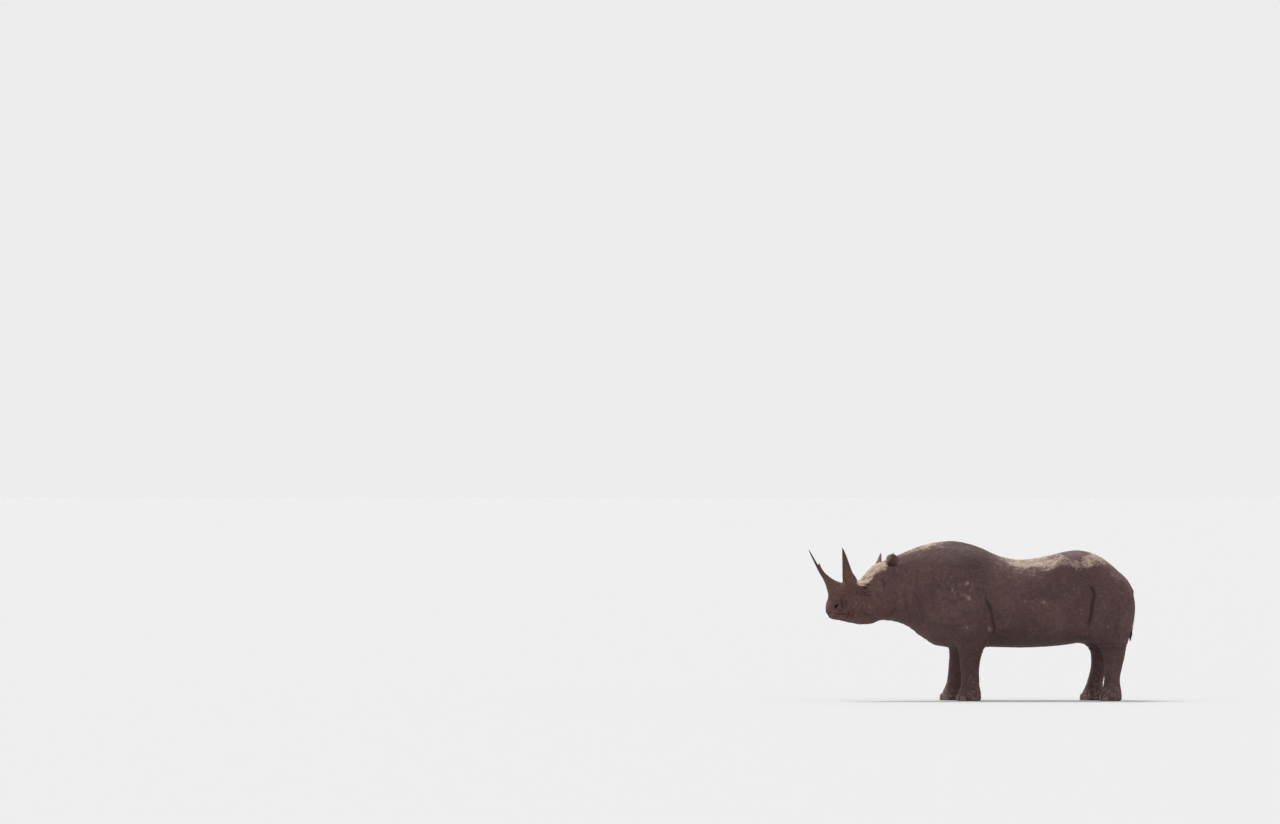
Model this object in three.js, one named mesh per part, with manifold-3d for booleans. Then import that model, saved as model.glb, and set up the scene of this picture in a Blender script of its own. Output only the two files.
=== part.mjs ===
// A black rhinoceros (Diceros bicornis), standing, with its head turned a little to its left.
// Millimetres, +Z up. The animal faces -X, its left side is -Y, and the floor is Z = 0.
//
// The body is one smooth field: a torso lofted along X, four legs lofted along Z, a head lofted
// along its own axis, and rounded masses of muscle and bone blended into them. Each part is a
// closed tube of rings wrapped onto that field, and thin cuts divide it from its neighbours.

import * as THREE from 'three';
import { mergeVertices } from 'three/addons/utils/BufferGeometryUtils.js';
import Module from 'manifold-3d';

const wasm = await Module();
wasm.setup();

// ---------------------------------------------------------------- driving dimensions

const GAP = 0.35; // width of a cut between two parts
const SEAT = 0.8; // clearance round a part set into another, whose facets may slant
const HEAD_YAW = THREE.MathUtils.degToRad(22); // the head's turn to the animal's left
const HEAD_PIVOT = new THREE.Vector3(-760, -65, 0); // the head turns about the vertical line here
const NECK_TURN_X = -400; // the neck starts to bend sideways here
const NECK_BEND = 0.0005; // sideways bend of the neck, per mm squared

// Torso and neck, from the poll to the tail root: the top and bottom of each section, half its
// width, and the height at which it is widest.
const TORSO = [
  { name: 'poll', x: -900, top: 1300, bottom: 800, half: 150, wide: 1090 },
  { name: 'nape', x: -740, top: 1392, bottom: 766, half: 188, wide: 1080 },
  { name: 'mid neck', x: -600, top: 1470, bottom: 702, half: 236, wide: 1060 },
  { name: 'neck root', x: -450, top: 1524, bottom: 606, half: 288, wide: 1030 },
  { name: 'chest point', x: -340, top: 1544, bottom: 556, half: 316, wide: 990 },
  { name: 'withers', x: -160, top: 1555, bottom: 530, half: 344, wide: 930 },
  { name: 'behind withers', x: 60, top: 1500, bottom: 520, half: 368, wide: 885 },
  { name: 'girth', x: 250, top: 1411, bottom: 514, half: 390, wide: 865 },
  { name: 'saddle', x: 470, top: 1367, bottom: 510, half: 406, wide: 855 },
  { name: 'loin', x: 730, top: 1410, bottom: 520, half: 404, wide: 862 },
  { name: 'croup', x: 980, top: 1464, bottom: 548, half: 366, wide: 880 },
  { name: 'hip', x: 1180, top: 1430, bottom: 604, half: 320, wide: 920 },
  { name: 'rump', x: 1340, top: 1328, bottom: 668, half: 270, wide: 950 },
  { name: 'tail root', x: 1440, top: 1222, bottom: 720, half: 214, wide: 960 },
  { name: 'cleft', x: 1500, top: 1128, bottom: 770, half: 165, wide: 960 },
];

// The head, from the nape to the tip of the lip, in the head's own frame: f forward of the
// pivot, and Z above the floor. `square` is how flat the section's top is.
const HEAD = [
  { name: 'nape', f: -60, top: 1392, bottom: 800, half: 176, wide: 1100, square: 2.1 },
  { name: 'ears', f: 76, top: 1354, bottom: 800, half: 168, wide: 1080, square: 2.5 },
  { name: 'crown', f: 154, top: 1340, bottom: 784, half: 162, wide: 1040, square: 2.9 },
  { name: 'forehead', f: 220, top: 1302, bottom: 763, half: 158, wide: 1010, square: 3.2 },
  { name: 'brow', f: 292, top: 1220, bottom: 744, half: 150, wide: 1000, square: 3.2 },
  { name: 'eyes', f: 359, top: 1160, bottom: 737, half: 136, wide: 985, square: 2.9 },
  { name: 'rear horn', f: 451, top: 1146, bottom: 750, half: 116, wide: 960, square: 2.5 },
  { name: 'between horns', f: 538, top: 1134, bottom: 768, half: 106, wide: 950, square: 2.4 },
  { name: 'nostrils', f: 604, top: 1066, bottom: 790, half: 106, wide: 930, square: 2.3 },
  { name: 'muzzle', f: 653, top: 1002, bottom: 806, half: 92, wide: 910, square: 2.2 },
  { name: 'lip', f: 686, top: 962, bottom: 846, half: 62, wide: 905, square: 2.2 },
  { name: 'lip tip', f: 699, top: 936, bottom: 882, half: 28, wide: 908, square: 2.2 },
];

// A foreleg from the shoulder to the sole: the front and back of each section, the middle and
// half of its width, all for a leg that stands straight. Depths are given as X from its foot.
const FORELEG = [
  { name: 'shoulder', z: 1240, front: -60, back: 40, out: 190, half: 40 },
  { name: 'blade', z: 1100, front: -150, back: 130, out: 205, half: 120 },
  { name: 'upper arm', z: 900, front: -200, back: 190, out: 222, half: 158 },
  { name: 'elbow', z: 690, front: -176, back: 186, out: 226, half: 140 },
  { name: 'forearm', z: 560, front: -140, back: 150, out: 222, half: 118 },
  { name: 'lower forearm', z: 440, front: -110, back: 116, out: 214, half: 102 },
  { name: 'knee', z: 335, front: -104, back: 92, out: 210, half: 95 },
  { name: 'cannon', z: 225, front: -86, back: 88, out: 208, half: 86 },
  { name: 'fetlock', z: 135, front: -98, back: 98, out: 212, half: 97 },
  { name: 'foot', z: 66, front: -118, back: 108, out: 214, half: 112 },
  { name: 'tread', z: 18, front: -124, back: 110, out: 214, half: 117 },
  { name: 'sole', z: 0, front: -114, back: 101, out: 214, half: 107 },
];

// A hind leg from the hip to the sole, in the same terms.
const HINDLEG = [
  { name: 'hip', z: 1320, front: -220, back: -70, out: 130, half: 50 },
  { name: 'haunch', z: 1180, front: -270, back: 126, out: 158, half: 128 },
  { name: 'buttock', z: 1010, front: -236, back: 216, out: 178, half: 160 },
  { name: 'thigh', z: 860, front: -212, back: 230, out: 186, half: 160 },
  { name: 'lower thigh', z: 750, front: -228, back: 214, out: 194, half: 152 },
  { name: 'stifle', z: 650, front: -240, back: 184, out: 205, half: 138 },
  { name: 'gaskin', z: 555, front: -178, back: 156, out: 216, half: 120 },
  { name: 'above hock', z: 465, front: -104, back: 134, out: 212, half: 96 },
  { name: 'hock', z: 385, front: -76, back: 120, out: 208, half: 87 },
  { name: 'cannon', z: 245, front: -76, back: 80, out: 208, half: 79 },
  { name: 'fetlock', z: 138, front: -91, back: 86, out: 212, half: 88 },
  { name: 'foot', z: 66, front: -110, back: 98, out: 214, half: 102 },
  { name: 'tread', z: 18, front: -116, back: 100, out: 214, half: 106 },
  { name: 'sole', z: 0, front: -106, back: 91, out: 214, half: 96 },
];

// Where each leg stands: side is -1 for the left, `swing` is how far the foot is from where it
// would stand straight under the joint at the height `pivot`, `knee` is the height of the cut at
// the knee or hock, and `blend` is how widely the leg rounds into the trunk.
const FORELEG_PLACE = { stations: FORELEG, x: -20, pivot: 1000, knee: 395, blend: 100 };
const HINDLEG_PLACE = { stations: HINDLEG, x: 1352, pivot: 1050, knee: 455, blend: 130 };
const LEGS = [
  { name: 'foreleg_left', side: -1, swing: 0, ...FORELEG_PLACE },
  { name: 'foreleg_right', side: 1, swing: -170, ...FORELEG_PLACE },
  { name: 'hindleg_left', side: -1, swing: 0, ...HINDLEG_PLACE },
  { name: 'hindleg_right', side: 1, swing: -190, ...HINDLEG_PLACE },
];

// Where the trunk's rings lie, closest together where the legs join it.
const TRUNK_RINGS = [
  1497, 1470, 1410, 1330, 1250, 1185, 1130, 1080, 1025, 930, 780, 630, 480, 355, 275, 220, 165, 110,
  40, -40, -110, -170,
];

// A leg's upper part reaches into the trunk round the leg's own section, up to its top and in
// towards the midline. Its outer rays span the skin that it shows, up to the largest arc.
const LEG_SOCKET = 45;
const LEG_TOP = 1250;
const LEG_LEVELS = [1140, 1000, 850, 710, 600, 500];
const LEG_MIDLINE = 50;
const MAX_SKIN_ARC = THREE.MathUtils.degToRad(112);
const TRUNK_REACH = 90; // how far the trunk's ring rays run into the legs, before these are cut out

// The horns' middle lines in the head's median plane, from inside the head to the tip, with
// half of the fore-and-aft thickness. The front horn's tip has split: a short stump stands
// behind a long splinter.
const FRONT_HORN = [
  { f: 578, z: 1047, r: 104 }, { f: 603, z: 1073, r: 100 }, { f: 634, z: 1106, r: 73 },
  { f: 673, z: 1149, r: 48 }, { f: 712, z: 1196, r: 30 }, { f: 746, z: 1240, r: 21 },
  { f: 770, z: 1290, r: 15 }, { f: 779, z: 1332, r: 7 }, { f: 781, z: 1350, r: 2 },
];
const SPLINTER = [
  { f: 736, z: 1204, r: 17 }, { f: 773, z: 1262, r: 16 }, { f: 804, z: 1316, r: 14 },
  { f: 845, z: 1388, r: 10 }, { f: 875, z: 1442, r: 7 }, { f: 887, z: 1465, r: 2 },
];
const REAR_HORN = [
  { f: 453, z: 1124, r: 84 }, { f: 459, z: 1158, r: 79 }, { f: 478, z: 1205, r: 61 },
  { f: 490, z: 1264, r: 47 }, { f: 507, z: 1350, r: 33 }, { f: 522, z: 1427, r: 18 },
  { f: 534, z: 1470, r: 7 }, { f: 538, z: 1482, r: 2 },
];
const FRONT_HORN_FLATNESS = 0.86; // sideways thickness over fore-and-aft thickness
const REAR_HORN_FLATNESS = 0.72;

// Each ear: its root, its tip and the way its cup faces, in the head's frame, and how far it bows
// away from the side that it faces. The right ear is pulled forward.
const EAR_LEFT = { root: [84, 128, 1236], tip: [79, 178, 1428], faces: [0.38, 0.92, 0.1], bow: 26 };
const EAR_RIGHT = { root: [152, -126, 1238], tip: [70, -170, 1419], faces: [0.98, -0.2, 0.1], bow: 6 };
const EARS = [{ name: 'ear_left', ...EAR_LEFT }, { name: 'ear_right', ...EAR_RIGHT }];
// The ear from root to tip: half its width, half its depth, and half of the cup's inside.
const EAR_SECTIONS = [
  { t: 0, width: 46, depth: 50, inside: 0 },
  { t: 0.2, width: 49, depth: 52, inside: 0 },
  { t: 0.36, width: 57, depth: 45, inside: 45 },
  { t: 0.55, width: 64, depth: 33, inside: 55 },
  { t: 0.72, width: 64, depth: 22, inside: 55 },
  { t: 0.86, width: 51, depth: 15, inside: 42 },
  { t: 0.95, width: 33, depth: 10, inside: 24 },
  { t: 1, width: 11, depth: 6, inside: 0 },
];
const EAR_WALL = 8;
const CUP_DEPTH = 1.15; // depth of the cup over half its width
const EAR_RINGS = [0.2, 0.38, 0.54, 0.7, 0.86, 1];
const CUP_RINGS = [0.32, 0.45, 0.6, 0.78, 0.94];
const EAR_SIDES = 12;

const EYE = { f: 362, z: 1090, radius: 18, sunk: 12 };

// The tail hangs in the cleft between the buttocks.
const TAIL = [
  { x: 1400, y: 0, z: 1190, r: 58 },
  { x: 1462, y: 1, z: 1172, r: 50 },
  { x: 1512, y: 4, z: 1112, r: 38 },
  { x: 1534, y: 8, z: 1020, r: 31 },
  { x: 1541, y: 13, z: 920, r: 27 },
  { x: 1540, y: 18, z: 820, r: 23 },
  { x: 1534, y: 23, z: 720, r: 18 },
  { x: 1531, y: 25, z: 672, r: 14 },
  { x: 1530, y: 26, z: 652, r: 7 },
];
// The outline of the bristles round the tail's end.
const TAIL_TUFT = [
  { x: 1533, y: 23, z: 706, r: 22 },
  { x: 1531, y: 25, z: 660, r: 25 },
  { x: 1529, y: 26, z: 620, r: 22 },
  { x: 1527, y: 27, z: 585, r: 14 },
  { x: 1526, y: 28, z: 562, r: 5 },
];

// Three nails on each foot: the angle from the foot's front, and the nail's half sizes outward,
// across and upward.
const NAILS = [
  { name: 'middle', angle: 0, size: [20, 50, 66] },
  { name: 'inner', angle: -56, size: [18, 38, 54] },
  { name: 'outer', angle: 56, size: [18, 38, 54] },
];
const CORONET_Z = 96; // the cut above each foot
const FOOT_LEVELS = [CORONET_Z, 58, 16, 0];

// The mouth, from the lips back to its corner, and the cut behind the lower lip and chin.
const MOUTH = [[750, 842], [676, 848], [600, 838], [512, 846]];
const JAW_BACK = [440, 690];

// The head's rings: their middles' (f, z) from behind the ears to the lips, and the rings' places
// between the throat's cut, at 0, and the last middle, at 5.
const HEAD_MIDDLES = [[195, 1040], [359, 975], [543, 950], [655, 908], [694, 906]];
const HEAD_RINGS = [0, 0.35, 0.7, 1, 1.3, 1.6, 1.85, 2.1, 2.4, 2.7, 3, 3.35, 3.7, 4.1, 4.55, 4.85];

// How many facets go round each kind of part, and how many rings a horn or the tail has.
const BODY_SIDES = 26;
const NECK_RINGS = 5;
const LEG_OUTER_RAYS = 9;
const LEG_INNER_RAYS = 7;
const LEG_SIDES = 14;
const LOWER_LEG_RINGS = 4;
const FRONT_HORN_FACETS = { around: 12, rings: 12 };
const SPLINTER_FACETS = { around: 8, rings: 7 };
const REAR_HORN_FACETS = { around: 12, rings: 10 };
const TAIL_FACETS = { around: 10, rings: 10 };
const TUFT_FACETS = { around: 8, rings: 5 };
const NAIL_FACETS = { around: 8, rings: 4 };

// ---------------------------------------------------------------- curves and fields

const clamp = THREE.MathUtils.clamp;
const mix = THREE.MathUtils.lerp;

// A smooth curve through stations: the value of `key` where the stations' `at` is t.
function through(stations, at, key) {
  const sorted = [...stations].sort((a, b) => a[at] - b[at]);
  const t = sorted.map((s) => s[at]);
  const v = sorted.map((s) => s[key]);
  const last = t.length - 1;
  const slope = t.map((_, i) => {
    const [a, b] = [Math.max(i - 1, 0), Math.min(i + 1, last)];
    return (v[b] - v[a]) / (t[b] - t[a]);
  });
  return (x) => {
    let i = 0;
    while (i < last - 1 && x > t[i + 1]) i++;
    const h = t[i + 1] - t[i];
    const u = clamp((x - t[i]) / h, 0, 1);
    const [u2, u3] = [u * u, u * u * u];
    return (
      v[i] * (2 * u3 - 3 * u2 + 1) + v[i + 1] * (3 * u2 - 2 * u3) +
      h * slope[i] * (u3 - 2 * u2 + u) + h * slope[i + 1] * (u3 - u2)
    );
  };
}

// The union of two fields, rounded over a width k where they meet.
function blend(a, b, k) {
  const h = Math.max(k - Math.abs(a - b), 0) / k;
  return Math.min(a, b) - (h * h * k) / 4;
}

// Distance outside a closed section, along the ray from its middle: u and v are the offsets from
// the middle, ru and rv the section's half sizes, and power its squareness.
function section(u, v, ru, rv, power) {
  const norm = (Math.abs(u / ru) ** power + Math.abs(v / rv) ** power) ** (1 / power);
  const length = Math.hypot(u, v);
  if (norm < 1e-6) return -Math.min(ru, rv);
  return length * (1 - 1 / norm);
}

// Distance outside a loft whose sections end at `over` past its last station.
function capped(distance, over) {
  return over > 0 ? Math.hypot(Math.max(distance, 0), over) : distance;
}

// A field of sections along `t`, each with a top, a bottom, half a width and a widest height.
function lengthwise(stations, at, topPower, bottomPower) {
  const curve = (key) => through(stations, at, key);
  const [top, bottom, half, wide] = ['top', 'bottom', 'half', 'wide'].map(curve);
  const [low, high] = [stations[0][at], stations.at(-1)[at]];
  return (t, side, z) => {
    const s = clamp(t, low, high);
    const middle = wide(s);
    const above = z > middle;
    const reach = Math.max(above ? top(s) - middle : middle - bottom(s), 4);
    const power = above ? topPower(s) : bottomPower;
    const d = section(side, z - middle, Math.max(half(s), 4), reach, power);
    return capped(d, Math.max(t - high, low - t));
  };
}

const torsoLoft = lengthwise(TORSO, 'x', () => 1.9, 2.2);
const headLoft = lengthwise(HEAD, 'f', through(HEAD, 'f', 'square'), 2.1);

// How far the neck's middle lies from the plane y = 0.
const neckOffset = (x) => -NECK_BEND * Math.max(NECK_TURN_X - x, 0) ** 2;
const torsoField = (p) => torsoLoft(p.x, p.y - neckOffset(p.x), p.z);

// The head's own frame: f forward, l to the left and z up.
const FORWARD = new THREE.Vector3(-Math.cos(HEAD_YAW), -Math.sin(HEAD_YAW), 0);
const LEFT = new THREE.Vector3(Math.sin(HEAD_YAW), -Math.cos(HEAD_YAW), 0);
const UP = new THREE.Vector3(0, 0, 1);
const headPoint = (f, l, z) =>
  HEAD_PIVOT.clone().addScaledVector(FORWARD, f).addScaledVector(LEFT, l).setZ(z);
const inHead = (p) => {
  const [dx, dy] = [p.x - HEAD_PIVOT.x, p.y - HEAD_PIVOT.y];
  return [dx * FORWARD.x + dy * FORWARD.y, dx * LEFT.x + dy * LEFT.y, p.z];
};

// A rounded mass: an ellipsoid with a middle and three half sizes.
function mass(p, middle, radii) {
  const q = p.map((c, i) => (c - middle[i]) / radii[i]);
  const near = Math.hypot(...q);
  const slope = Math.hypot(...q.map((c, i) => c / radii[i]));
  return slope < 1e-9 ? -Math.min(...radii) : (near * (near - 1)) / slope;
}

// Masses of the head in its own frame, each on both sides where its l is not 0:
// [middle, half sizes, blend width].
const HEAD_MASSES = {
  frontHornBoss: [[600, 0, 1040], [98, 84, 62], 50],
  rearHornBoss: [[459, 0, 1118], [96, 70, 42], 50],
  browRidge: [[346, 112, 1110], [58, 42, 36], 44],
  cheekbone: [[251, 140, 1030], [108, 34, 52], 60],
  jawMuscle: [[164, 118, 930], [108, 62, 150], 70],
  jawAngle: [[300, 72, 790], [94, 40, 52], 50],
  earRoot: [[92, 112, 1256], [60, 44, 60], 60],
  nostril: [[626, 70, 930], [50, 38, 46], 40],
  upperLip: [[650, 0, 886], [54, 76, 46], 34],
  lipPoint: [[686, 0, 892], [22, 32, 30], 24],
  chin: [[606, 0, 826], [72, 56, 34], 34],
};

function headField(p) {
  const [f, l, z] = inHead(p);
  let d = headLoft(f, l, z);
  for (const [middle, radii, width] of Object.values(HEAD_MASSES))
    d = blend(d, mass([f, Math.abs(l), z], middle, radii), width);
  return d;
}

// Masses of the trunk, on both sides, or on the midline where y is 0.
const TRUNK_MASSES = {
  shoulderBlade: [[-90, 230, 1160], [150, 110, 250], 140],
  shoulderPoint: [[-262, 215, 850], [120, 112, 190], 120],
  brisket: [[-290, 0, 640], [200, 150, 96], 110],
  triceps: [[30, 268, 860], [150, 92, 190], 90],
  hipBone: [[1010, 220, 1270], [200, 100, 120], 150],
  flank: [[1010, 250, 760], [190, 110, 160], 140],
};

function trunkMasses(d, p) {
  for (const [middle, radii, width] of Object.values(TRUNK_MASSES))
    d = blend(d, mass([p.x, Math.abs(p.y), p.z], middle, radii), width);
  return d;
}

// The field of one leg: horizontal sections that lean with the leg's swing.
function legField(leg) {
  const curve = (key) => through(leg.stations, 'z', key);
  const [front, back, out, half] = ['front', 'back', 'out', 'half'].map(curve);
  const high = Math.max(...leg.stations.map((s) => s.z));
  const lean = (z) => (leg.swing * Math.max(leg.pivot - z, 0)) / leg.pivot;
  leg.middle = (z) =>
    new THREE.Vector3(leg.x + lean(z) + (front(z) + back(z)) / 2, leg.side * out(z), z);
  return (p) => {
    const z = clamp(p.z, 0, high);
    const c = leg.middle(z);
    const depth = (back(z) - front(z)) / 2;
    const d = section(p.x - c.x, p.y - c.y, Math.max(depth, 4), Math.max(half(z), 4), 2.15);
    return capped(d, p.z - high);
  };
}
const LEG_FIELDS = LEGS.map(legField);

// The whole body, without ears, horns, eyes, tail and nails.
function bodyField(p) {
  let d = trunkMasses(torsoField(p), p);
  d = blend(d, headField(p), 70);
  LEG_FIELDS.forEach((leg, i) => (d = blend(d, leg(p), LEGS[i].blend)));
  return d;
}

// ---------------------------------------------------------------- meshes

// A closed tube through rings of points, with a point that closes each end. The rings follow one
// another along right x up, and the points of a ring go round from right to up.
function tube(rings, start, end) {
  const count = rings[0].length;
  const position = [...rings.flat(), start, end].flatMap((p) => [p.x, p.y, p.z]);
  const [first, last] = [rings.length * count, rings.length * count + 1];
  const index = [];
  rings.slice(1).forEach((_, i) => {
    for (let j = 0; j < count; j++) {
      const k = (j + 1) % count;
      const [a, b, c, d] = [i * count + j, i * count + k, (i + 1) * count + k, (i + 1) * count + j];
      index.push(a, b, c, a, c, d);
    }
  });
  for (let j = 0; j < count; j++) {
    const k = (j + 1) % count;
    index.push(first, k, j);
    index.push(last, (rings.length - 1) * count + j, (rings.length - 1) * count + k);
  }
  const geometry = new THREE.BufferGeometry();
  geometry.setAttribute('position', new THREE.Float32BufferAttribute(position, 3));
  return geometry.setIndex(index);
}

// The point where a ray leaves the field.
function exitPoint(field, from, direction, reach) {
  const at = (t) => from.clone().addScaledVector(direction, t);
  const step = 8;
  let t = 0;
  while (t < reach && field(at(t)) < 0) t += step;
  let [low, high] = [Math.max(t - step, 0), t];
  for (let i = 0; i < 18; i++) {
    const middle = (low + high) / 2;
    if (field(at(middle)) < 0) low = middle;
    else high = middle;
  }
  return at(low);
}

const turned = ({ right, up }, angle) =>
  right.clone().multiplyScalar(Math.cos(angle)).addScaledVector(up, Math.sin(angle));
const evenAngles = (around) =>
  Array.from({ length: around }, (_, j) => (2 * Math.PI * (j + 0.5)) / around);

// A tube wrapped onto a field: each frame gives a ring's middle and its right and up directions,
// and may list the angles of its rays. An end is flat, or round where a direction is given for
// the ray that closes it.
function wrap(field, frames, around, { startRay, endRay, reach = 1200 } = {}) {
  const rings = frames.map((frame) => {
    const angles = frame.angles ?? evenAngles(around);
    return angles.map((angle) => exitPoint(field, frame.middle, turned(frame, angle), reach));
  });
  const close = (frame, ray) => (ray ? exitPoint(field, frame.middle, ray, reach) : frame.middle);
  return tube(rings, close(frames[0], startRay), close(frames.at(-1), endRay));
}

// Frames between two or more given ones, spaced by `places`, which run from 0 to the last one.
function between(keys, places) {
  return places.map((place) => {
    const i = Math.min(Math.floor(place), keys.length - 2);
    const u = place - i;
    const part = (k) => keys[i][k].clone().lerp(keys[i + 1][k], u);
    const right = part('right').normalize();
    const up = part('up').addScaledVector(right, -part('up').dot(right)).normalize();
    return { middle: part('middle'), right, up };
  });
}
const evenly = (from, to, count) =>
  Array.from({ length: count }, (_, i) => mix(from, to, i / (count - 1)));

function solid(geometry) {
  const bare = geometry.clone();
  bare.deleteAttribute('normal');
  bare.deleteAttribute('uv');
  const merged = mergeVertices(bare, 1e-3);
  return new wasm.Manifold(
    new wasm.Mesh({
      numProp: 3,
      vertProperties: merged.attributes.position.array,
      triVerts: new Uint32Array(merged.index.array),
    }),
  );
}

// The largest of a solid's separate bodies, without the slivers that a cut has left.
const largest = (manifold) => manifold.decompose().sort((a, b) => b.volume() - a.volume())[0];

function geometryOf(manifold) {
  const mesh = manifold.getMesh();
  const geometry = new THREE.BufferGeometry();
  geometry.setAttribute('position', new THREE.BufferAttribute(mesh.vertProperties, 3));
  return geometry.setIndex(new THREE.BufferAttribute(mesh.triVerts, 1));
}

// ---------------------------------------------------------------- frames of the cuts

const frame = (middle, right, up) => ({
  middle,
  right: right.clone().normalize(),
  up: up.clone().normalize(),
});
const REARWARD = new THREE.Vector3(1, 0, 0);
const SIDE = new THREE.Vector3(0, -1, 0);

// The cut from the withers to the chest, and the cut from behind the ears to the throat.
const NECK_ROOT = frame(new THREE.Vector3(-440, 0, 1080), SIDE, new THREE.Vector3(170, 0, 895));
const throatSlant = UP.clone().multiplyScalar(615).addScaledVector(FORWARD, -163);
const THROAT = frame(headPoint(35, 0, 1085), LEFT, throatSlant);

// The same frame moved along its own axis.
function shifted(ring, by) {
  const axis = ring.right.clone().cross(ring.up);
  return { ...ring, middle: ring.middle.clone().addScaledVector(axis, by) };
}

// ---------------------------------------------------------------- materials

const skinMaterial = new THREE.MeshStandardMaterial({ color: 0x5d5250, roughness: 0.86 });
const hornMaterial = new THREE.MeshStandardMaterial({ color: 0x4a3f39, roughness: 0.6 });
const nailMaterial = new THREE.MeshStandardMaterial({ color: 0x57493f, roughness: 0.55 });
const bristleMaterial = new THREE.MeshStandardMaterial({ color: 0x1c1714, roughness: 0.7 });
const eyeMaterial = new THREE.MeshStandardMaterial({ color: 0x1d120c, roughness: 0.1 });

const rhinoceros = new THREE.Group();
rhinoceros.name = 'rhinoceros';
function add(name, manifold, material) {
  const mesh = new THREE.Mesh(geometryOf(manifold), material);
  mesh.name = name;
  rhinoceros.add(mesh);
}

// ---------------------------------------------------------------- parts

// The head and the lower jaw, divided along the mouth.
function makeHead() {
  const upright = (f, z) => frame(headPoint(f, 0, z), LEFT, UP);
  const middles = HEAD_MIDDLES.map(([f, z]) => upright(f, z));
  const frames = between([shifted(THROAT, GAP), ...middles], HEAD_RINGS);
  const whole = solid(wrap(bodyField, frames, BODY_SIDES, { endRay: FORWARD }));
  const outline = new THREE.Shape();
  outline.moveTo(...MOUTH[0]);
  outline.splineThru(MOUTH.slice(1).map((p) => new THREE.Vector2(...p)));
  outline.lineTo(...JAW_BACK);
  outline.lineTo(MOUTH[0][0], JAW_BACK[1]);
  const width = 400;
  const extrusion = { depth: width, bevelEnabled: false, curveSegments: 4 };
  const region = new THREE.ExtrudeGeometry(outline, extrusion);
  const place = new THREE.Matrix4().makeBasis(FORWARD, UP, LEFT.clone().negate());
  place.setPosition(headPoint(0, width / 2, 0));
  const jawRegion = solid(region.applyMatrix4(place));
  const down = FORWARD.clone().multiplyScalar(GAP).addScaledVector(UP, -GAP);
  return [whole.subtract(jawRegion), whole.intersect(jawRegion).translate(down.toArray())];
}

const makeNeck = () =>
  solid(wrap(bodyField, between([NECK_ROOT, THROAT], evenly(0, 1, NECK_RINGS)), BODY_SIDES));

// The trunk with the tops of the legs, before the legs' sockets are cut out of it.
function makeTrunk() {
  const field = (p) => Math.max(bodyField(p), trunkMasses(torsoField(p), p) - TRUNK_REACH);
  const middleZ = (x) => (x > 1400 ? 1000 : 960);
  const behind = TRUNK_RINGS.map((x) => frame(new THREE.Vector3(x, 0, middleZ(x)), SIDE, UP));
  const ahead = [frame(new THREE.Vector3(-220, 0, 1000), SIDE, UP), shifted(NECK_ROOT, -GAP)];
  const frames = [...behind, ...between(ahead, [0, 0.5, 1])];
  return solid(wrap(field, frames, BODY_SIDES, { startRay: REARWARD }));
}

// The arc of a leg's ring, on both sides of the ray that points outward, where the skin and not the
// socket bounds the leg.
function skinArc(ring, outward, inSocket) {
  const step = Math.PI / 60;
  const isSkin = (angle) =>
    inSocket(exitPoint(bodyField, ring.middle, turned(ring, angle), 1200)) < 0;
  return [-1, 1].map((way) => {
    let angle = step;
    while (angle < MAX_SKIN_ARC && isSkin(outward + way * angle)) angle += step;
    return angle;
  });
}

// One leg as three solids, with the socket that its upper part needs in the trunk.
function makeLeg(leg, legShape) {
  const level = (z) => frame(leg.middle(z), REARWARD, SIDE);
  const near = (margin) => (p) =>
    Math.max(legShape(p) - LEG_SOCKET, LEG_MIDLINE - leg.side * p.y) - margin;
  const outward = (-leg.side * Math.PI) / 2;
  const joined = (z) => {
    const ring = level(z);
    const [back, front] = skinArc(ring, outward, near(0));
    const outer = evenly(outward - back, outward + front, LEG_OUTER_RAYS);
    const round = evenly(outward + front, outward - back + 2 * Math.PI, LEG_INNER_RAYS + 2);
    const inner = round.slice(1, -1);
    return { ...ring, angles: [...outer, ...inner] };
  };
  const rings = [LEG_TOP - GAP, ...LEG_LEVELS].map(joined);
  const knee = joined(leg.knee + GAP);
  const upperField = (p) => Math.max(bodyField(p), near(0)(p));
  const upper = solid(wrap(upperField, [...rings, knee]));
  const shin = evenly(leg.knee, CORONET_Z + GAP, LOWER_LEG_RINGS);
  const lower = solid(wrap(bodyField, shin.map(level), LEG_SIDES));
  const foot = solid(wrap(bodyField, FOOT_LEVELS.map(level), LEG_SIDES));
  const socketRings = [{ ...rings[0], middle: leg.middle(LEG_TOP) }, ...rings.slice(1), knee];
  const socket = solid(wrap(near(SEAT), socketRings));
  return { upper, lower, foot, socket };
}

// The nails of a leg, as closed lumps whose flat undersides are level with the sole.
function makeNails(leg) {
  const under = leg.middle(0);
  const ground = solid(new THREE.BoxGeometry(600, 600, 200).translate(under.x, under.y, 100));
  return NAILS.map(({ name, angle, size }) => {
    const turn = THREE.MathUtils.degToRad(angle) * leg.side;
    const outward = new THREE.Vector3(-Math.cos(turn), Math.sin(turn), 0);
    const middle = leg.middle(30);
    const at = exitPoint(bodyField, middle, outward, 300).addScaledVector(outward, -size[0] * 0.42);
    const across = UP.clone().cross(outward);
    const shape = (margin) => {
      const lump = new THREE.SphereGeometry(1, NAIL_FACETS.around, NAIL_FACETS.rings);
      lump.applyMatrix4(new THREE.Matrix4().makeScale(...size.map((r) => r + margin)));
      lump.applyMatrix4(new THREE.Matrix4().makeBasis(outward, across, UP));
      return solid(lump.translate(at.x, at.y, 6));
    };
    return { name: `nail_${name}`, nail: shape(0).intersect(ground), socket: shape(SEAT) };
  });
}

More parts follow.
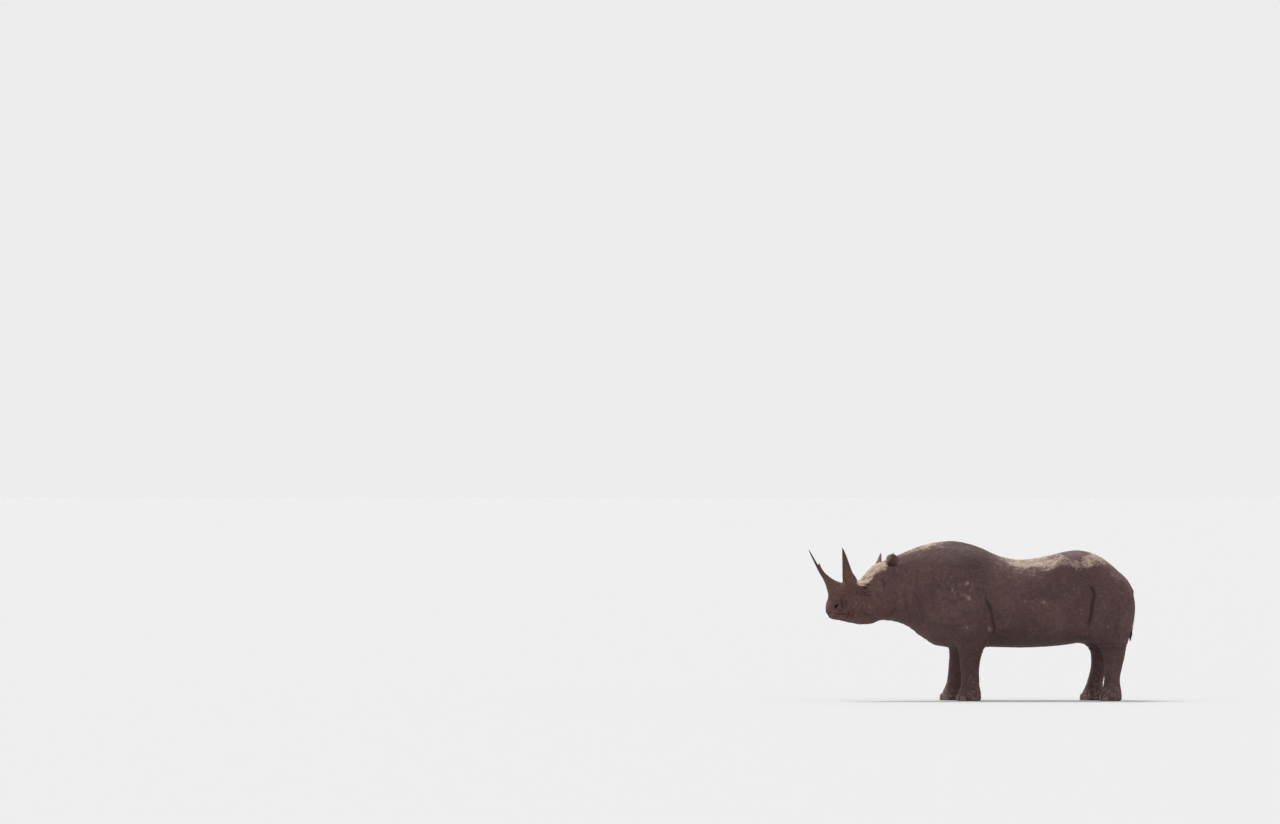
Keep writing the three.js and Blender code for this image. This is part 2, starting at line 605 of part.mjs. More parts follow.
// A tube along a smooth line: each station has a place and a radius, and the tube is flattened
// sideways. A margin grows it all round. It starts flat and ends in a point.
function drawn(stations, place, rightOf, facets, flatness, margin) {
  const curve = new THREE.CatmullRomCurve3(stations.map(place), false, 'centripetal');
  const radius = (t) => {
    const i = Math.min(Math.floor(t * (stations.length - 1)), stations.length - 2);
    const u = t * (stations.length - 1) - i;
    return mix(stations[i].r, stations[i + 1].r, u * u * (3 - 2 * u) * 0.35 + u * 0.65) + margin;
  };
  const start = curve.getPoint(0).addScaledVector(curve.getTangent(0), -margin);
  const ring = (t) => {
    const middle = t > 0 ? curve.getPoint(t) : start;
    const axis = curve.getTangent(t);
    const right = rightOf.clone().addScaledVector(axis, -rightOf.dot(axis)).normalize();
    const up = axis.clone().cross(right);
    return Array.from({ length: facets.around }, (_, j) => {
      const angle = (2 * Math.PI * j) / facets.around;
      return middle
        .clone()
        .addScaledVector(right, Math.cos(angle) * radius(t) * flatness)
        .addScaledVector(up, Math.sin(angle) * radius(t));
    });
  };
  const places = evenly(0, 1, facets.rings);
  const tip = curve.getPoint(1).addScaledVector(curve.getTangent(1), radius(1));
  return solid(tube(places.map(ring), start, tip));
}

const medianPoint = ({ f, z }) => headPoint(f, 0, z);
const hornTube = (stations, facets, flatness, margin) =>
  drawn(stations, medianPoint, LEFT, facets, flatness, margin);
const frontHorn = (margin) =>
  hornTube(FRONT_HORN, FRONT_HORN_FACETS, FRONT_HORN_FLATNESS, margin).add(
    hornTube(SPLINTER, SPLINTER_FACETS, FRONT_HORN_FLATNESS, margin),
  );
const rearHorn = (margin) => hornTube(REAR_HORN, REAR_HORN_FACETS, REAR_HORN_FLATNESS, margin);
const pointOf = ({ x, y, z }) => new THREE.Vector3(x, y, z);
const makeTail = (margin) => drawn(TAIL, pointOf, SIDE, TAIL_FACETS, 1, margin);
const makeTuft = (margin) => drawn(TAIL_TUFT, pointOf, SIDE, TUFT_FACETS, 1, margin);

// An ear: a pod from its root to its tip, and the cup hollowed into the side that it faces.
function makeEar({ root, tip, faces, bow }, margin) {
  const [from, to] = [headPoint(...root), headPoint(...tip)];
  const axis = to.clone().sub(from).normalize();
  const facing = headPoint(...faces).sub(headPoint(0, 0, 0));
  facing.addScaledVector(axis, -facing.dot(axis)).normalize();
  const across = facing.clone().cross(axis); // across x facing points along the axis
  const curve = (key) => through(EAR_SECTIONS, 't', key);
  const [width, depth, inside] = ['width', 'depth', 'inside'].map(curve);
  const curl = (t) => bow * (Math.sin(Math.PI * t) - t / 2);
  const pod = (places, w, d, off) =>
    places.map((t) =>
      Array.from({ length: EAR_SIDES }, (_, j) => {
        const angle = (2 * Math.PI * j) / EAR_SIDES;
        return from
          .clone()
          .lerp(to, t)
          .addScaledVector(facing, off(t) - curl(t) + d(t) * Math.sin(angle))
          .addScaledVector(across, w(t) * Math.cos(angle));
      }),
    );
  const outside = [-margin / from.distanceTo(to), ...EAR_RINGS];
  const shell = pod(outside, (t) => width(t) + margin, (t) => depth(t) + margin, () => 0);
  const end = (rings, i) => {
    const sum = rings.at(i).reduce((total, p) => total.add(p), new THREE.Vector3());
    return sum.divideScalar(EAR_SIDES);
  };
  const body = solid(tube(shell, end(shell, 0), end(shell, -1).addScaledVector(axis, 5)));
  const deep = (t) => inside(t) * CUP_DEPTH;
  const cup = pod(CUP_RINGS, inside, deep, (t) => deep(t) - depth(t) + EAR_WALL);
  return margin ? body : body.subtract(solid(tube(cup, end(cup, 0), end(cup, -1))));
}

function eyeball(side, margin) {
  const from = headPoint(EYE.f, 0, EYE.z);
  const outward = LEFT.clone().multiplyScalar(side);
  const at = exitPoint(bodyField, from, outward, 300).addScaledVector(outward, -EYE.sunk);
  return solid(new THREE.SphereGeometry(EYE.radius + margin, 8, 6).translate(at.x, at.y, at.z));
}

// ---------------------------------------------------------------- assembly

let [head, lowerJaw] = makeHead();
const neck = makeNeck();
let trunk = makeTrunk();
const legs = LEGS.map((leg, i) => ({ leg, ...makeLeg(leg, LEG_FIELDS[i]), nails: makeNails(leg) }));

head = head.subtract(frontHorn(SEAT)).subtract(rearHorn(SEAT));
for (const side of [-1, 1]) head = head.subtract(eyeball(side, SEAT));
for (const ear of EARS) head = head.subtract(makeEar(ear, SEAT));
trunk = trunk.subtract(makeTail(SEAT));

add('head', head, skinMaterial);
add('lower_jaw', lowerJaw, skinMaterial);
add('horn_front', frontHorn(0), hornMaterial);
add('horn_rear', rearHorn(0).subtract(frontHorn(SEAT)), hornMaterial);
for (const ear of EARS) add(ear.name, makeEar(ear, 0), skinMaterial);
add('eye_left', eyeball(1, 0), eyeMaterial);
add('eye_right', eyeball(-1, 0), eyeMaterial);
add('neck', neck, skinMaterial);
for (const { socket } of legs) trunk = trunk.subtract(socket);
add('trunk', largest(trunk), skinMaterial);
add('tail', makeTail(0), skinMaterial);
add('tail_tuft', makeTuft(0).subtract(makeTail(SEAT)), bristleMaterial);
for (const { leg, upper, lower, foot, nails } of legs) {
  add(`${leg.name}_upper`, upper.subtract(makeTail(SEAT)), skinMaterial);
  add(`${leg.name}_lower`, lower, skinMaterial);
  const hoof = nails.reduce((left, { socket }) => left.subtract(socket), foot);
  add(`${leg.name}_foot`, hoof, skinMaterial);
  for (const { name, nail } of nails) add(`${leg.name}_${name}`, nail, nailMaterial);
}

export default rhinoceros;
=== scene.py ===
"""The looks of a life-size black rhinoceros, standing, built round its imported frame.

Metres, +Z up. The animal faces -X, its left side is -Y, and the floor is Z = 0. One skin replaces
all the nodes of flesh. Horns, nails and eyes stay separate pieces, and the bristles of the tail,
the fringes of the ears and the lashes are tufts of mesh.
"""

import math

import bmesh
import bpy
import numpy as np
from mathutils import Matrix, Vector
from mathutils.bvhtree import BVHTree


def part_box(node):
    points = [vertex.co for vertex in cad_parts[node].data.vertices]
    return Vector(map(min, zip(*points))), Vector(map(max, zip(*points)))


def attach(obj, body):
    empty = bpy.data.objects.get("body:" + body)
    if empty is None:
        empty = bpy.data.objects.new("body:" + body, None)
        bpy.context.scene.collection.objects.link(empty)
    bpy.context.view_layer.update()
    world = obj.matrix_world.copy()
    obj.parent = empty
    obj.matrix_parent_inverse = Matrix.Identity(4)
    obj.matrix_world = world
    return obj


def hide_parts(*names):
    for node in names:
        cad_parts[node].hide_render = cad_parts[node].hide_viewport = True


# ---------------------------------------------------------------- the head's own frame

HEAD_YAW = math.radians(22)
HEAD_PIVOT = np.array([-0.760, -0.065, 0.0])
FORWARD = np.array([-math.cos(HEAD_YAW), -math.sin(HEAD_YAW), 0.0])
LEFT = np.array([math.sin(HEAD_YAW), -math.cos(HEAD_YAW), 0.0])
UP = np.array([0.0, 0.0, 1.0])


def head_point(f, l, z):
    """The place of a point given as forward of the pivot, to the left and above the floor."""
    return HEAD_PIVOT + FORWARD * f + LEFT * l + UP * z


def head_coords(points):
    """Each point's place forward of the pivot, to the left and above the floor."""
    away = points - HEAD_PIVOT
    return away @ FORWARD, away @ LEFT, points[:, 2]


# ---------------------------------------------------------------- arrays


def step(value, low, high):
    """0 below low, 1 above high, and smooth between them."""
    t = np.clip((value - low) / (high - low), 0, 1)
    return t * t * (3 - 2 * t)


def bump(value, width):
    """1 at 0, falling smoothly on both sides."""
    return np.exp(-((value / width) ** 2))


def read(collection, name, width, kind=np.float32):
    """One property of all the items of a mesh, as an array."""
    found = np.empty(len(collection) * width, kind)
    collection.foreach_get(name, found)
    return found.reshape(-1, width) if width > 1 else found


def points_of(mesh):
    return read(mesh.vertices, "co", 3).astype(float)


def put_points(mesh, points):
    mesh.vertices.foreach_set("co", points.astype(np.float32).ravel())
    mesh.update()


def edges_of(mesh):
    return read(mesh.edges, "vertices", 2, np.int32)


def normals_of(mesh):
    return read(mesh.vertex_normals, "vector", 3).astype(float)


def diffused(values, edges, rate, steps):
    """Values on vertices after each has moved `steps` times by `rate` to its neighbours' mean."""
    a, b = edges.T
    count = len(values)
    degree = np.bincount(a, minlength=count) + np.bincount(b, minlength=count)
    share = (rate / np.maximum(degree, 1))[:, None]
    for _ in range(steps):
        total = [
            np.bincount(a, values[b, k], count) + np.bincount(b, values[a, k], count)
            for k in range(values.shape[1])
        ]
        values = values + share * np.stack(total, 1) - rate[:, None] * values
    return values


def smoothed(points, edges, rate, steps):
    """Points with their small bumps gone and their large shape kept."""
    once = diffused(points, edges, rate, steps)
    return once + diffused(points - once, edges, rate, steps)


def noise(points, scale, seed=0):
    """Smooth noise from -1 to 1, one value for each point."""
    at = points * scale + 17.3 * (seed + 1)
    cell = np.floor(at).astype(np.int64)
    part = at - cell
    part = part * part * (3 - 2 * part)
    total = np.zeros(len(points))
    for corner in np.ndindex(2, 2, 2):
        weight = np.prod(np.where(corner, part, 1 - part), axis=1)
        key = (cell + corner) @ np.array([73856093, 19349663, 83492791])
        key = (key ^ (key >> 13)) * 1274126177
        total += weight * ((key & 0xFFFF) / 32767.5 - 1)
    return total


def fractal(points, scale, seed=0, octaves=3):
    """Noise with finer and weaker noise added."""
    return sum(noise(points, scale * 2.1**i, seed + i) / 2**i for i in range(octaves))


def along_line(u, v, line):
    """Distance in a plane to a line of points, and the place along it from 0 to 1."""
    line = np.array(line, float)
    legs = np.linalg.norm(np.diff(line, axis=0), axis=1)
    starts = np.concatenate([[0], np.cumsum(legs)])
    nearest = np.full(len(u), np.inf)
    place = np.zeros(len(u))
    for i, length in enumerate(legs):
        way = (line[i + 1] - line[i]) / length
        t = np.clip((u - line[i, 0]) * way[0] + (v - line[i, 1]) * way[1], 0, length)
        d = np.hypot(u - line[i, 0] - way[0] * t, v - line[i, 1] - way[1] * t)
        closer = d < nearest
        nearest = np.where(closer, d, nearest)
        place = np.where(closer, (starts[i] + t) / starts[-1], place)
    return nearest, place


def curve_points(line, count=24):
    """A smooth line of `count` points through a few."""
    line = [np.array(p, float) for p in line]
    ends = [2 * line[0] - line[1], *line, 2 * line[-1] - line[-2]]
    found = []
    for t in np.linspace(0, len(line) - 1, count):
        i = min(int(t), len(line) - 2)
        u = t - i
        a, b, c, d = ends[i : i + 4]
        bend = (2 * a - 5 * b + 4 * c - d) * u + (3 * b - a - 3 * c + d) * u * u
        found.append(b + 0.5 * u * (c - a + bend))
    return found


def along_curve(u, v, line):
    """Distance in a plane to the smooth line through a few points, and the place along it."""
    return along_line(u, v, curve_points(line))


def read_off(at, rows):
    """The other columns of a table's rows, read off where its first column is `at`."""
    first, *others = zip(*rows)
    return [np.interp(at, first, values) for values in others]


def unit(vectors):
    """The same directions with a length of 1."""
    return vectors / np.linalg.norm(vectors, axis=-1, keepdims=True)


# ---------------------------------------------------------------- meshes


def placed(name, data):
    """A new object in the scene."""
    made = bpy.data.objects.new(name, data)
    bpy.context.scene.collection.objects.link(made)
    return made


def new_piece(name, mesh):
    """A smooth piece of the animal, which rides on its body."""
    mesh.name = name
    mesh.polygons.foreach_set("use_smooth", np.ones(len(mesh.polygons), bool))
    piece = placed(name, mesh)
    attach(piece, "root")
    return piece


def mesh_from(points, faces):
    mesh = bpy.data.meshes.new("mesh")
    mesh.from_pydata([tuple(p) for p in points], [], faces)
    mesh.update()
    return mesh


def joined(meshes):
    """One mesh of several (points, faces)."""
    points, faces, start = [], [], 0
    for p, f in meshes:
        points.append(p)
        faces += [[i + start for i in face] for face in f]
        start += len(p)
    return np.concatenate(points), faces


def node_shape(node):
    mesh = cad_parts[node].data
    return points_of(mesh), [list(p.vertices) for p in mesh.polygons]


def inset_shape(node, by):
    """A node's shape shrunk by a distance along its normals, to fill its socket."""
    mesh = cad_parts[node].data
    points, faces = node_shape(node)
    keys = np.round(points * 1e5).astype(np.int64)
    _, first, where = np.unique(keys, axis=0, return_index=True, return_inverse=True)
    where = where.ravel()
    normals = np.zeros((len(first), 3))
    np.add.at(normals, where, normals_of(mesh))
    normals /= np.maximum(np.linalg.norm(normals, axis=1, keepdims=True), 1e-9)
    return points - by * normals[where], faces


def remeshed(points, faces, voxel):
    """The closed surface round some solids, as an even mesh of small squares."""
    source = mesh_from(points, faces)
    carrier = placed("carrier", source)
    modifier = carrier.modifiers.new("remesh", "REMESH")
    modifier.mode = "VOXEL"
    modifier.voxel_size = voxel
    modifier.adaptivity = 0
    graph = bpy.context.evaluated_depsgraph_get()
    mesh = bpy.data.meshes.new_from_object(carrier.evaluated_get(graph))
    bpy.data.objects.remove(carrier)
    bpy.data.meshes.remove(source)
    return mesh


def quartered(points, triangles):
    """The same shape with each triangle split into four."""
    sides = np.concatenate([triangles[:, [0, 1]], triangles[:, [1, 2]], triangles[:, [2, 0]]])
    unique, where = np.unique(np.sort(sides, axis=1), axis=0, return_inverse=True)
    ab, bc, ca = where.reshape(3, -1) + len(points)
    a, b, c = triangles.T
    split = [(a, ab, ca), (ab, b, bc), (ca, bc, c), (ab, bc, ca)]
    middles = points[unique].mean(axis=1)
    return np.concatenate([points, middles]), np.concatenate([np.stack(t, 1) for t in split])


def refine(mesh, chosen):
    """Halves the size of the faces at the chosen vertices."""
    work = bmesh.new()
    work.from_mesh(mesh)
    work.verts.ensure_lookup_table()
    edges = [e for e in work.edges if chosen[e.verts[0].index] and chosen[e.verts[1].index]]
    bmesh.ops.subdivide_edges(work, edges=edges, cuts=1, use_grid_fill=True)
    work.to_mesh(mesh)
    work.free()
    mesh.update()


def put_attribute(mesh, name, values):
    attribute = mesh.attributes.new(name, "FLOAT", "POINT")
    attribute.data.foreach_set("value", np.clip(values, 0, 1).astype(np.float32))


# ---------------------------------------------------------------- the frame

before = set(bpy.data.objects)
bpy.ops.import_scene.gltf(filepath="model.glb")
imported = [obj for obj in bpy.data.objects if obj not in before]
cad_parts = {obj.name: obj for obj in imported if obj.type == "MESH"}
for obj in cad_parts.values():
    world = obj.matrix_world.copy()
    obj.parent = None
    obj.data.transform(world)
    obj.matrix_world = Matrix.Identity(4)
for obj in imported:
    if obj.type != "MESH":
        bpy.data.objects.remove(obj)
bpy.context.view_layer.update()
LEGS = ["foreleg_left", "foreleg_right", "hindleg_left", "hindleg_right"]
FLESH = ["head", "lower_jaw", "neck", "trunk", "tail", "ear_left", "ear_right"]
FLESH += [f"{leg}_{part}" for leg in LEGS for part in ("upper", "lower", "foot")]
HORNS = ["horn_front", "horn_rear"]
EYES = {"eye_left": 1, "eye_right": -1}
NAILS = [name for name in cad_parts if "_nail_" in name]

# Each ear's root and tip in the head's frame, the way its cup faces, and how far it bows away from
# there.
EARS = {
    "ear_left": {
        "root": (0.084, 0.128, 1.236),
        "tip": (0.079, 0.178, 1.428),
        "faces": (0.38, 0.92, 0.1),
        "bow": 0.026,
    },
    "ear_right": {
        "root": (0.152, -0.126, 1.238),
        "tip": (0.070, -0.170, 1.419),
        "faces": (0.98, -0.2, 0.1),
        "bow": 0.006,
    },
}


def ear_axes(ear):
    """An ear's root and tip, and the way its cup faces."""
    root, tip = head_point(*ear["root"]), head_point(*ear["tip"])
    faces = FORWARD * ear["faces"][0] + LEFT * ear["faces"][1] + UP * ear["faces"][2]
    return root, tip, faces


def box_middle(node):
    low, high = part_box(node)
    return (np.array(low) + np.array(high)) / 2


# ---------------------------------------------------------------- skin: the smooth body

VOXEL = 0.0132  # size of the skin's squares on the trunk
HEAD_FINENESS = 2.6  # how many times smaller they are on the head
FINE_FROM, FINE_TO = -0.32, -0.80  # the skin gets finer between these X
WARP_Y, WARP_Z = -0.14, 1.05  # the line along X that the finer part is magnified round
COAT_DEPTH = 0.0012  # how far the skin lies inside the solids
SOCKET_FILL = 0.005  # how far the shapes that fill the sockets of horns, eyes and nails are shrunk
QUARTERINGS = 2  # how often the solids' triangles are split before they are stretched


def fineness(x):
    """How many times smaller than on the trunk the skin's squares are."""
    return 1 + (HEAD_FINENESS - 1) * step(-x, -FINE_FROM, -FINE_TO)


WARP_X = np.linspace(-2.0, 2.0, 4001)
WARPED_X = np.concatenate([[0], np.cumsum(fineness((WARP_X[1:] + WARP_X[:-1]) / 2))])
WARPED_X *= WARP_X[1] - WARP_X[0]


def warped(points):
    """Places in a space where the head is magnified, so that even squares are finer on it."""
    scale = fineness(points[:, 0])
    x = np.interp(points[:, 0], WARP_X, WARPED_X)
    return np.stack([x, scale * (points[:, 1] - WARP_Y), scale * (points[:, 2] - WARP_Z)], 1)


def unwarped(points):
    """The places that `warped` has moved, put back."""
    x = np.interp(points[:, 0], WARPED_X, WARP_X)
    scale = fineness(x)
    return np.stack([x, points[:, 1] / scale + WARP_Y, points[:, 2] / scale + WARP_Z], 1)


def near_ears(points, reach):
    """1 on the ears, 0 further than `reach` from their middle lines."""
    found = np.zeros(len(points))
    for ear in EARS.values():
        a, b, _ = ear_axes(ear)
        t = np.clip((points - a) @ (b - a) / ((b - a) @ (b - a)), 0.12, 1)
        d = np.linalg.norm(points - a - t[:, None] * (b - a), axis=1)
        found = np.maximum(found, 1 - step(d, reach * 0.8, reach))
    return found


def near_legs(points):
    """1 on the lower legs and feet, 0 on the trunk."""
    found = np.zeros(len(points))
    below_body = 1 - step(points[:, 2], 0.50, 0.80)
    for leg in LEGS:
        low, high = box_middle(f"{leg}_foot"), box_middle(f"{leg}_upper")
        t = np.clip((points[:, 2] - low[2]) / (high[2] - low[2]), 0, 1)
        middle = low[:2] + t[:, None] * (high[:2] - low[:2])
        away = np.linalg.norm(points[:, :2] - middle, axis=1)
        found = np.maximum(found, (1 - step(away, 0.20, 0.26)) * below_body)
    return found


# The tail's middle line: Z, X, Y and its radius.
TAIL_AXIS = [
    (0.652, 1.530, 0.026, 0.010),
    (0.720, 1.534, 0.023, 0.018),
    (0.820, 1.540, 0.018, 0.023),
    (0.920, 1.541, 0.013, 0.027),
    (1.020, 1.534, 0.008, 0.031),
    (1.112, 1.512, 0.004, 0.038),
]
TAIL_Y = 0.015  # where the tail's middle line is on average


def near_tail(points):
    """1 on the tail below its root, 0 off it."""
    x, y, z = points.T
    beside = 1 - step(np.abs(y - TAIL_Y), 0.04, 0.06)
    return step(x, 1.47, 1.50) * beside * (1 - step(z, 1.06, 1.14))


SMOOTHING = 0.5
SMOOTHING_STEPS = 90
# The part of those steps that each region takes: the facets are large on the trunk and small on
# the legs, and an ear is thin.
HEAD_SHARE, LEG_SHARE, TAIL_SHARE, EAR_SHARE, SOLE_SHARE = 0.8, 0.34, 0.14, 0.08, 0.1
# How far from an ear's middle line it is smoothed apart, has no folds, is finer and is hollow.
EAR_SMOOTHED, EAR_PLAIN, EAR_FINER, EAR_HOLLOW = 0.095, 0.085, 0.08, 0.072


def smoothing_rate(points):
    """How far each point moves to its neighbours' mean in one step."""
    f, _, z = head_coords(points)
    share = np.ones(len(points))
    share += (HEAD_SHARE - share) * step(f, -0.05, 0.10)
    share += (LEG_SHARE - share) * near_legs(points)
    share += (TAIL_SHARE - share) * near_tail(points)
    share += (EAR_SHARE - share) * near_ears(points, EAR_SMOOTHED)
    share += (SOLE_SHARE - share) * (1 - step(z, 0.02, 0.06))
    return SMOOTHING * share


def smooth_body():
    """The skin's mesh, with the flesh's parts joined and the facets of the solids gone."""
    shapes = [node_shape(node) for node in FLESH]
    shapes += [inset_shape(node, SOCKET_FILL) for node in HORNS + list(EYES) + NAILS]
    points, faces = joined(shapes)
    triangles = np.array(faces)
    for _ in range(QUARTERINGS):
        points, triangles = quartered(points, triangles)
    mesh = remeshed(warped(points), triangles.tolist(), VOXEL)
    points = unwarped(points_of(mesh))
    points = smoothed(points, edges_of(mesh), smoothing_rate(points), SMOOTHING_STEPS)
    put_points(mesh, points)
    return mesh


# ---------------------------------------------------------------- skin: folds and features

ELBOW_FOLD = [(0.11, 1.05), (0.155, 0.93), (0.195, 0.82), (0.214, 0.70), (0.19, 0.60)]
THIGH_FOLD = [(1.11, 1.16), (1.172, 1.04), (1.168, 0.92), (1.150, 0.79), (1.11, 0.68)]
# Folds on each side of the trunk and legs, as lines in X and Z: (line, width, depth).
BODY_FOLDS = {
    "behind the elbow": (ELBOW_FOLD, 0.012, 0.014),
    "before the thigh": (THIGH_FOLD, 0.014, 0.017),
    "behind the shoulder": ([(0.05, 1.34), (0.10, 1.22), (0.105, 1.10), (0.08, 1.00)], 0.030, 0.004),
    "lower shoulder": ([(-0.36, 0.745), (-0.25, 0.727), (-0.13, 0.722), (-0.02, 0.74)], 0.016, 0.005),
    "shoulder point": ([(-0.30, 1.02), (-0.28, 0.90), (-0.22, 0.79), (-0.17, 0.72)], 0.026, 0.005),
    "neck root": ([(-0.34, 1.36), (-0.385, 1.20), (-0.385, 1.02), (-0.345, 0.84)], 0.028, 0.006),
    "neck": ([(-0.52, 1.33), (-0.545, 1.16), (-0.53, 0.98), (-0.49, 0.82), (-0.45, 0.66)], 0.022, 0.005),
    "throat": ([(-0.66, 1.13), (-0.655, 0.99), (-0.63, 0.86), (-0.60, 0.74)], 0.018, 0.006),
    "hip": ([(1.02, 1.30), (1.10, 1.24), (1.15, 1.17)], 0.030, 0.006),
    "behind the thigh": ([(1.40, 0.98), (1.42, 0.86), (1.40, 0.74), (1.37, 0.64)], 0.018, 0.007),
    "groin": ([(1.02, 0.62), (1.09, 0.60), (1.16, 0.60)], 0.016, 0.006),
    "armpit": ([(0.20, 0.63), (0.27, 0.60), (0.34, 0.585)], 0.018, 0.006),
    "second armpit": ([(0.24, 0.69), (0.30, 0.665), (0.37, 0.655)], 0.014, 0.005),
}
JAW_FOLD = [(0.085, 1.12), (0.050, 1.02), (0.045, 0.92), (0.080, 0.83), (0.14, 0.78)]
# Folds on each side of the head, as lines in its own f and Z.
HEAD_FOLDS = {
    "behind the horn": ([(0.39, 1.163), (0.345, 1.172), (0.305, 1.186), (0.272, 1.20)], 0.008, 0.0035),
    "over the eye": ([(0.405, 1.118), (0.37, 1.130), (0.325, 1.126), (0.295, 1.108)], 0.008, 0.006),
    "under the eye": ([(0.405, 1.066), (0.372, 1.050), (0.33, 1.050), (0.295, 1.066)], 0.007, 0.0045),
    "second under the eye": ([(0.42, 1.046), (0.38, 1.024), (0.335, 1.020), (0.29, 1.032)], 0.009, 0.004),
    "before the eye": ([(0.43, 1.10), (0.425, 1.07), (0.44, 1.035)], 0.008, 0.004),
    "wing of the nose": ([(0.578, 1.000), (0.582, 0.955), (0.575, 0.912), (0.585, 0.88)], 0.010, 0.007),
    "behind the wing": ([(0.535, 0.985), (0.540, 0.94), (0.532, 0.895)], 0.011, 0.004),
    "upper lip": ([(0.665, 0.893), (0.63, 0.876), (0.59, 0.868), (0.55, 0.872)], 0.008, 0.004),
    "mouth corner": ([(0.520, 0.872), (0.507, 0.850), (0.508, 0.820), (0.525, 0.795)], 0.009, 0.006),
    "cheek": ([(0.475, 0.90), (0.460, 0.86), (0.462, 0.81), (0.485, 0.775)], 0.012, 0.005),
    "edge of the jaw": ([(0.415, 0.90), (0.36, 0.85), (0.30, 0.82), (0.24, 0.83)], 0.018, 0.004),
    "behind the jaw": (JAW_FOLD, 0.022, 0.0035),
    "under the ear": ([(0.02, 1.36), (-0.015, 1.30), (-0.01, 1.24), (0.045, 1.19)], 0.012, 0.008),
    "temple": ([(0.19, 1.20), (0.165, 1.14), (0.16, 1.08)], 0.016, 0.005),
    "chin": ([(0.665, 0.826), (0.63, 0.812), (0.59, 0.808)], 0.008, 0.004),
}
HEAD_FOLD_GAIN = 1.8  # how many times deeper than in that list they are
# The stalk of an ear on the side of the head, and the fold behind it with its painted highlight, as f and
# Z.
EAR_STALK = [(0.082, 1.325), (0.080, 1.28), (0.070, 1.22)]
EAR_FOLD = [(0.016, 1.392), (-0.002, 1.349), (0.028, 1.285), (0.057, 1.232)]
STALK_HEIGHT, EAR_FOLD_HEIGHT = 0.007, 0.004
# The mouth from the lips to its corner, as f and Z.
MOUTH_LINE = [(0.715, 0.860), (0.68, 0.853), (0.64, 0.844), (0.60, 0.839), (0.555, 0.842)]
MOUTH_LINE += [(0.515, 0.848)]
MOUTH_WIDTH, MOUTH_DEPTH = 0.0045, 0.011
# Rings of wrinkles round the legs: height, width and depth.
FORELEG_RINGS = [
    (0.480, 0.012, 0.005),
    (0.445, 0.010, 0.007),
    (0.412, 0.010, 0.007),
    (0.380, 0.012, 0.005),
    (0.165, 0.010, 0.005),
    (0.140, 0.008, 0.006),
    (0.118, 0.008, 0.004),
]
HINDLEG_RINGS = [
    (0.545, 0.012, 0.006),
    (0.508, 0.010, 0.007),
    (0.475, 0.012, 0.004),
    (0.170, 0.010, 0.005),
    (0.145, 0.008, 0.006),
    (0.122, 0.008, 0.004),
]
# Wrinkles that run over the skin in waves: how high they are and how far apart.
RIB_HEIGHT, RIB_PITCH = 0.0026, 0.088
NECK_HEIGHT, NECK_PITCH = 0.0034, 0.062
FOREHEAD_HEIGHT, FOREHEAD_PITCH = 0.0018, 0.034
TAIL_HEIGHT, TAIL_GROOVE = 0.007, 0.014  # it stands out between two grooves
FOLD_SHADE_DEPTH = 0.013  # how deep a fold is before its painted shade is as dark as it gets

EYE_RADIUS = 0.018
EYE_REACH = 0.075  # the skin has smaller faces this near to an eye
EYE_CLOSER_REACHES = (0.042, 0.025)  # and faces half as large again this near
LID_THICKNESS = 0.0026
LID_BLEND = 0.014  # how widely the lids melt into the skin round them
EYE_HALF_LENGTH, EYE_HALF_HEIGHT = 0.0155, 0.0085  # of the opening between the lids
UPPER_LID, LOWER_LID = 1.15, 0.9  # how far the opening goes up and down, over that half height
# The folds round an eye: depth, how many times larger than the opening their ring is, width,
# above (1) or below it (-1), and the heights between which they start.
LID_FOLDS = [
    (0.0022, 1.95, 0.16, 1, -0.002, 0.004),
    (0.0016, 1.9, 0.2, -1, -0.002, 0.004),
    (0.0013, 2.9, 0.25, -1, 0.0, 0.006),
    (0.0011, 2.75, 0.2, 1, 0.0, 0.006),
]
NOSTRIL_PLACE, NOSTRIL_SIDE = (0.630, 0.918), 0.086  # f and Z, and how far to each side
NOSTRIL_LENGTH, NOSTRIL_WIDTH, NOSTRIL_DEPTH = 0.027, 0.0125, 0.026
NOSTRIL_TILT = math.radians(38)

# Pale sores and scars on the left side: X, Z and radius.
SORES = [
    (-0.048, 1.134, 0.020),
    (-0.032, 0.994, 0.019),
    (-0.058, 1.018, 0.010),
    (-0.052, 0.708, 0.011),
    (-0.19, 1.075, 0.012),
    (0.168, 0.701, 0.012),
    (0.695, 0.951, 0.016),
    (-0.020, 1.075, 0.009),
]


def creases(points, scale, seed):
    """1 along a net of wandering lines, 0 between them."""
    share = 0.5 + 0.5 * noise(points, scale * 0.4, seed + 50)
    return bump(noise(points, scale, seed), 0.24) * share


def fold_shape(u, v, line, width, depth):
    """How far a fold moves the skin: a groove between two low ridges that fades at its ends."""
    away, place = along_curve(u, v, line)
    fade = step(place, 0, 0.22) * (1 - step(place, 0.78, 1))
    ridges = 0.35 * bump(away - 2.1 * width, 0.9 * width)
    return depth * fade * (ridges - bump(away, width))


def eye_axes(side):
    """The way an eye looks, the way to its front corner, and up."""
    out = LEFT * side + 0.22 * FORWARD + 0.06 * UP
    out /= np.linalg.norm(out)
    ahead = FORWARD - out * (FORWARD @ out)
    ahead /= np.linalg.norm(ahead)
    up = UP - out * (UP @ out) - ahead * (UP @ ahead)
    return out, ahead, up / np.linalg.norm(up)


def opening_of(u, w):
    """1 on the edge of the opening between the lids, and less inside it."""
    height = np.where(w > 0, EYE_HALF_HEIGHT * UPPER_LID, EYE_HALF_HEIGHT * LOWER_LID)
    return np.sqrt((u / EYE_HALF_LENGTH) ** 2 + np.abs(w / height) ** 1.7)


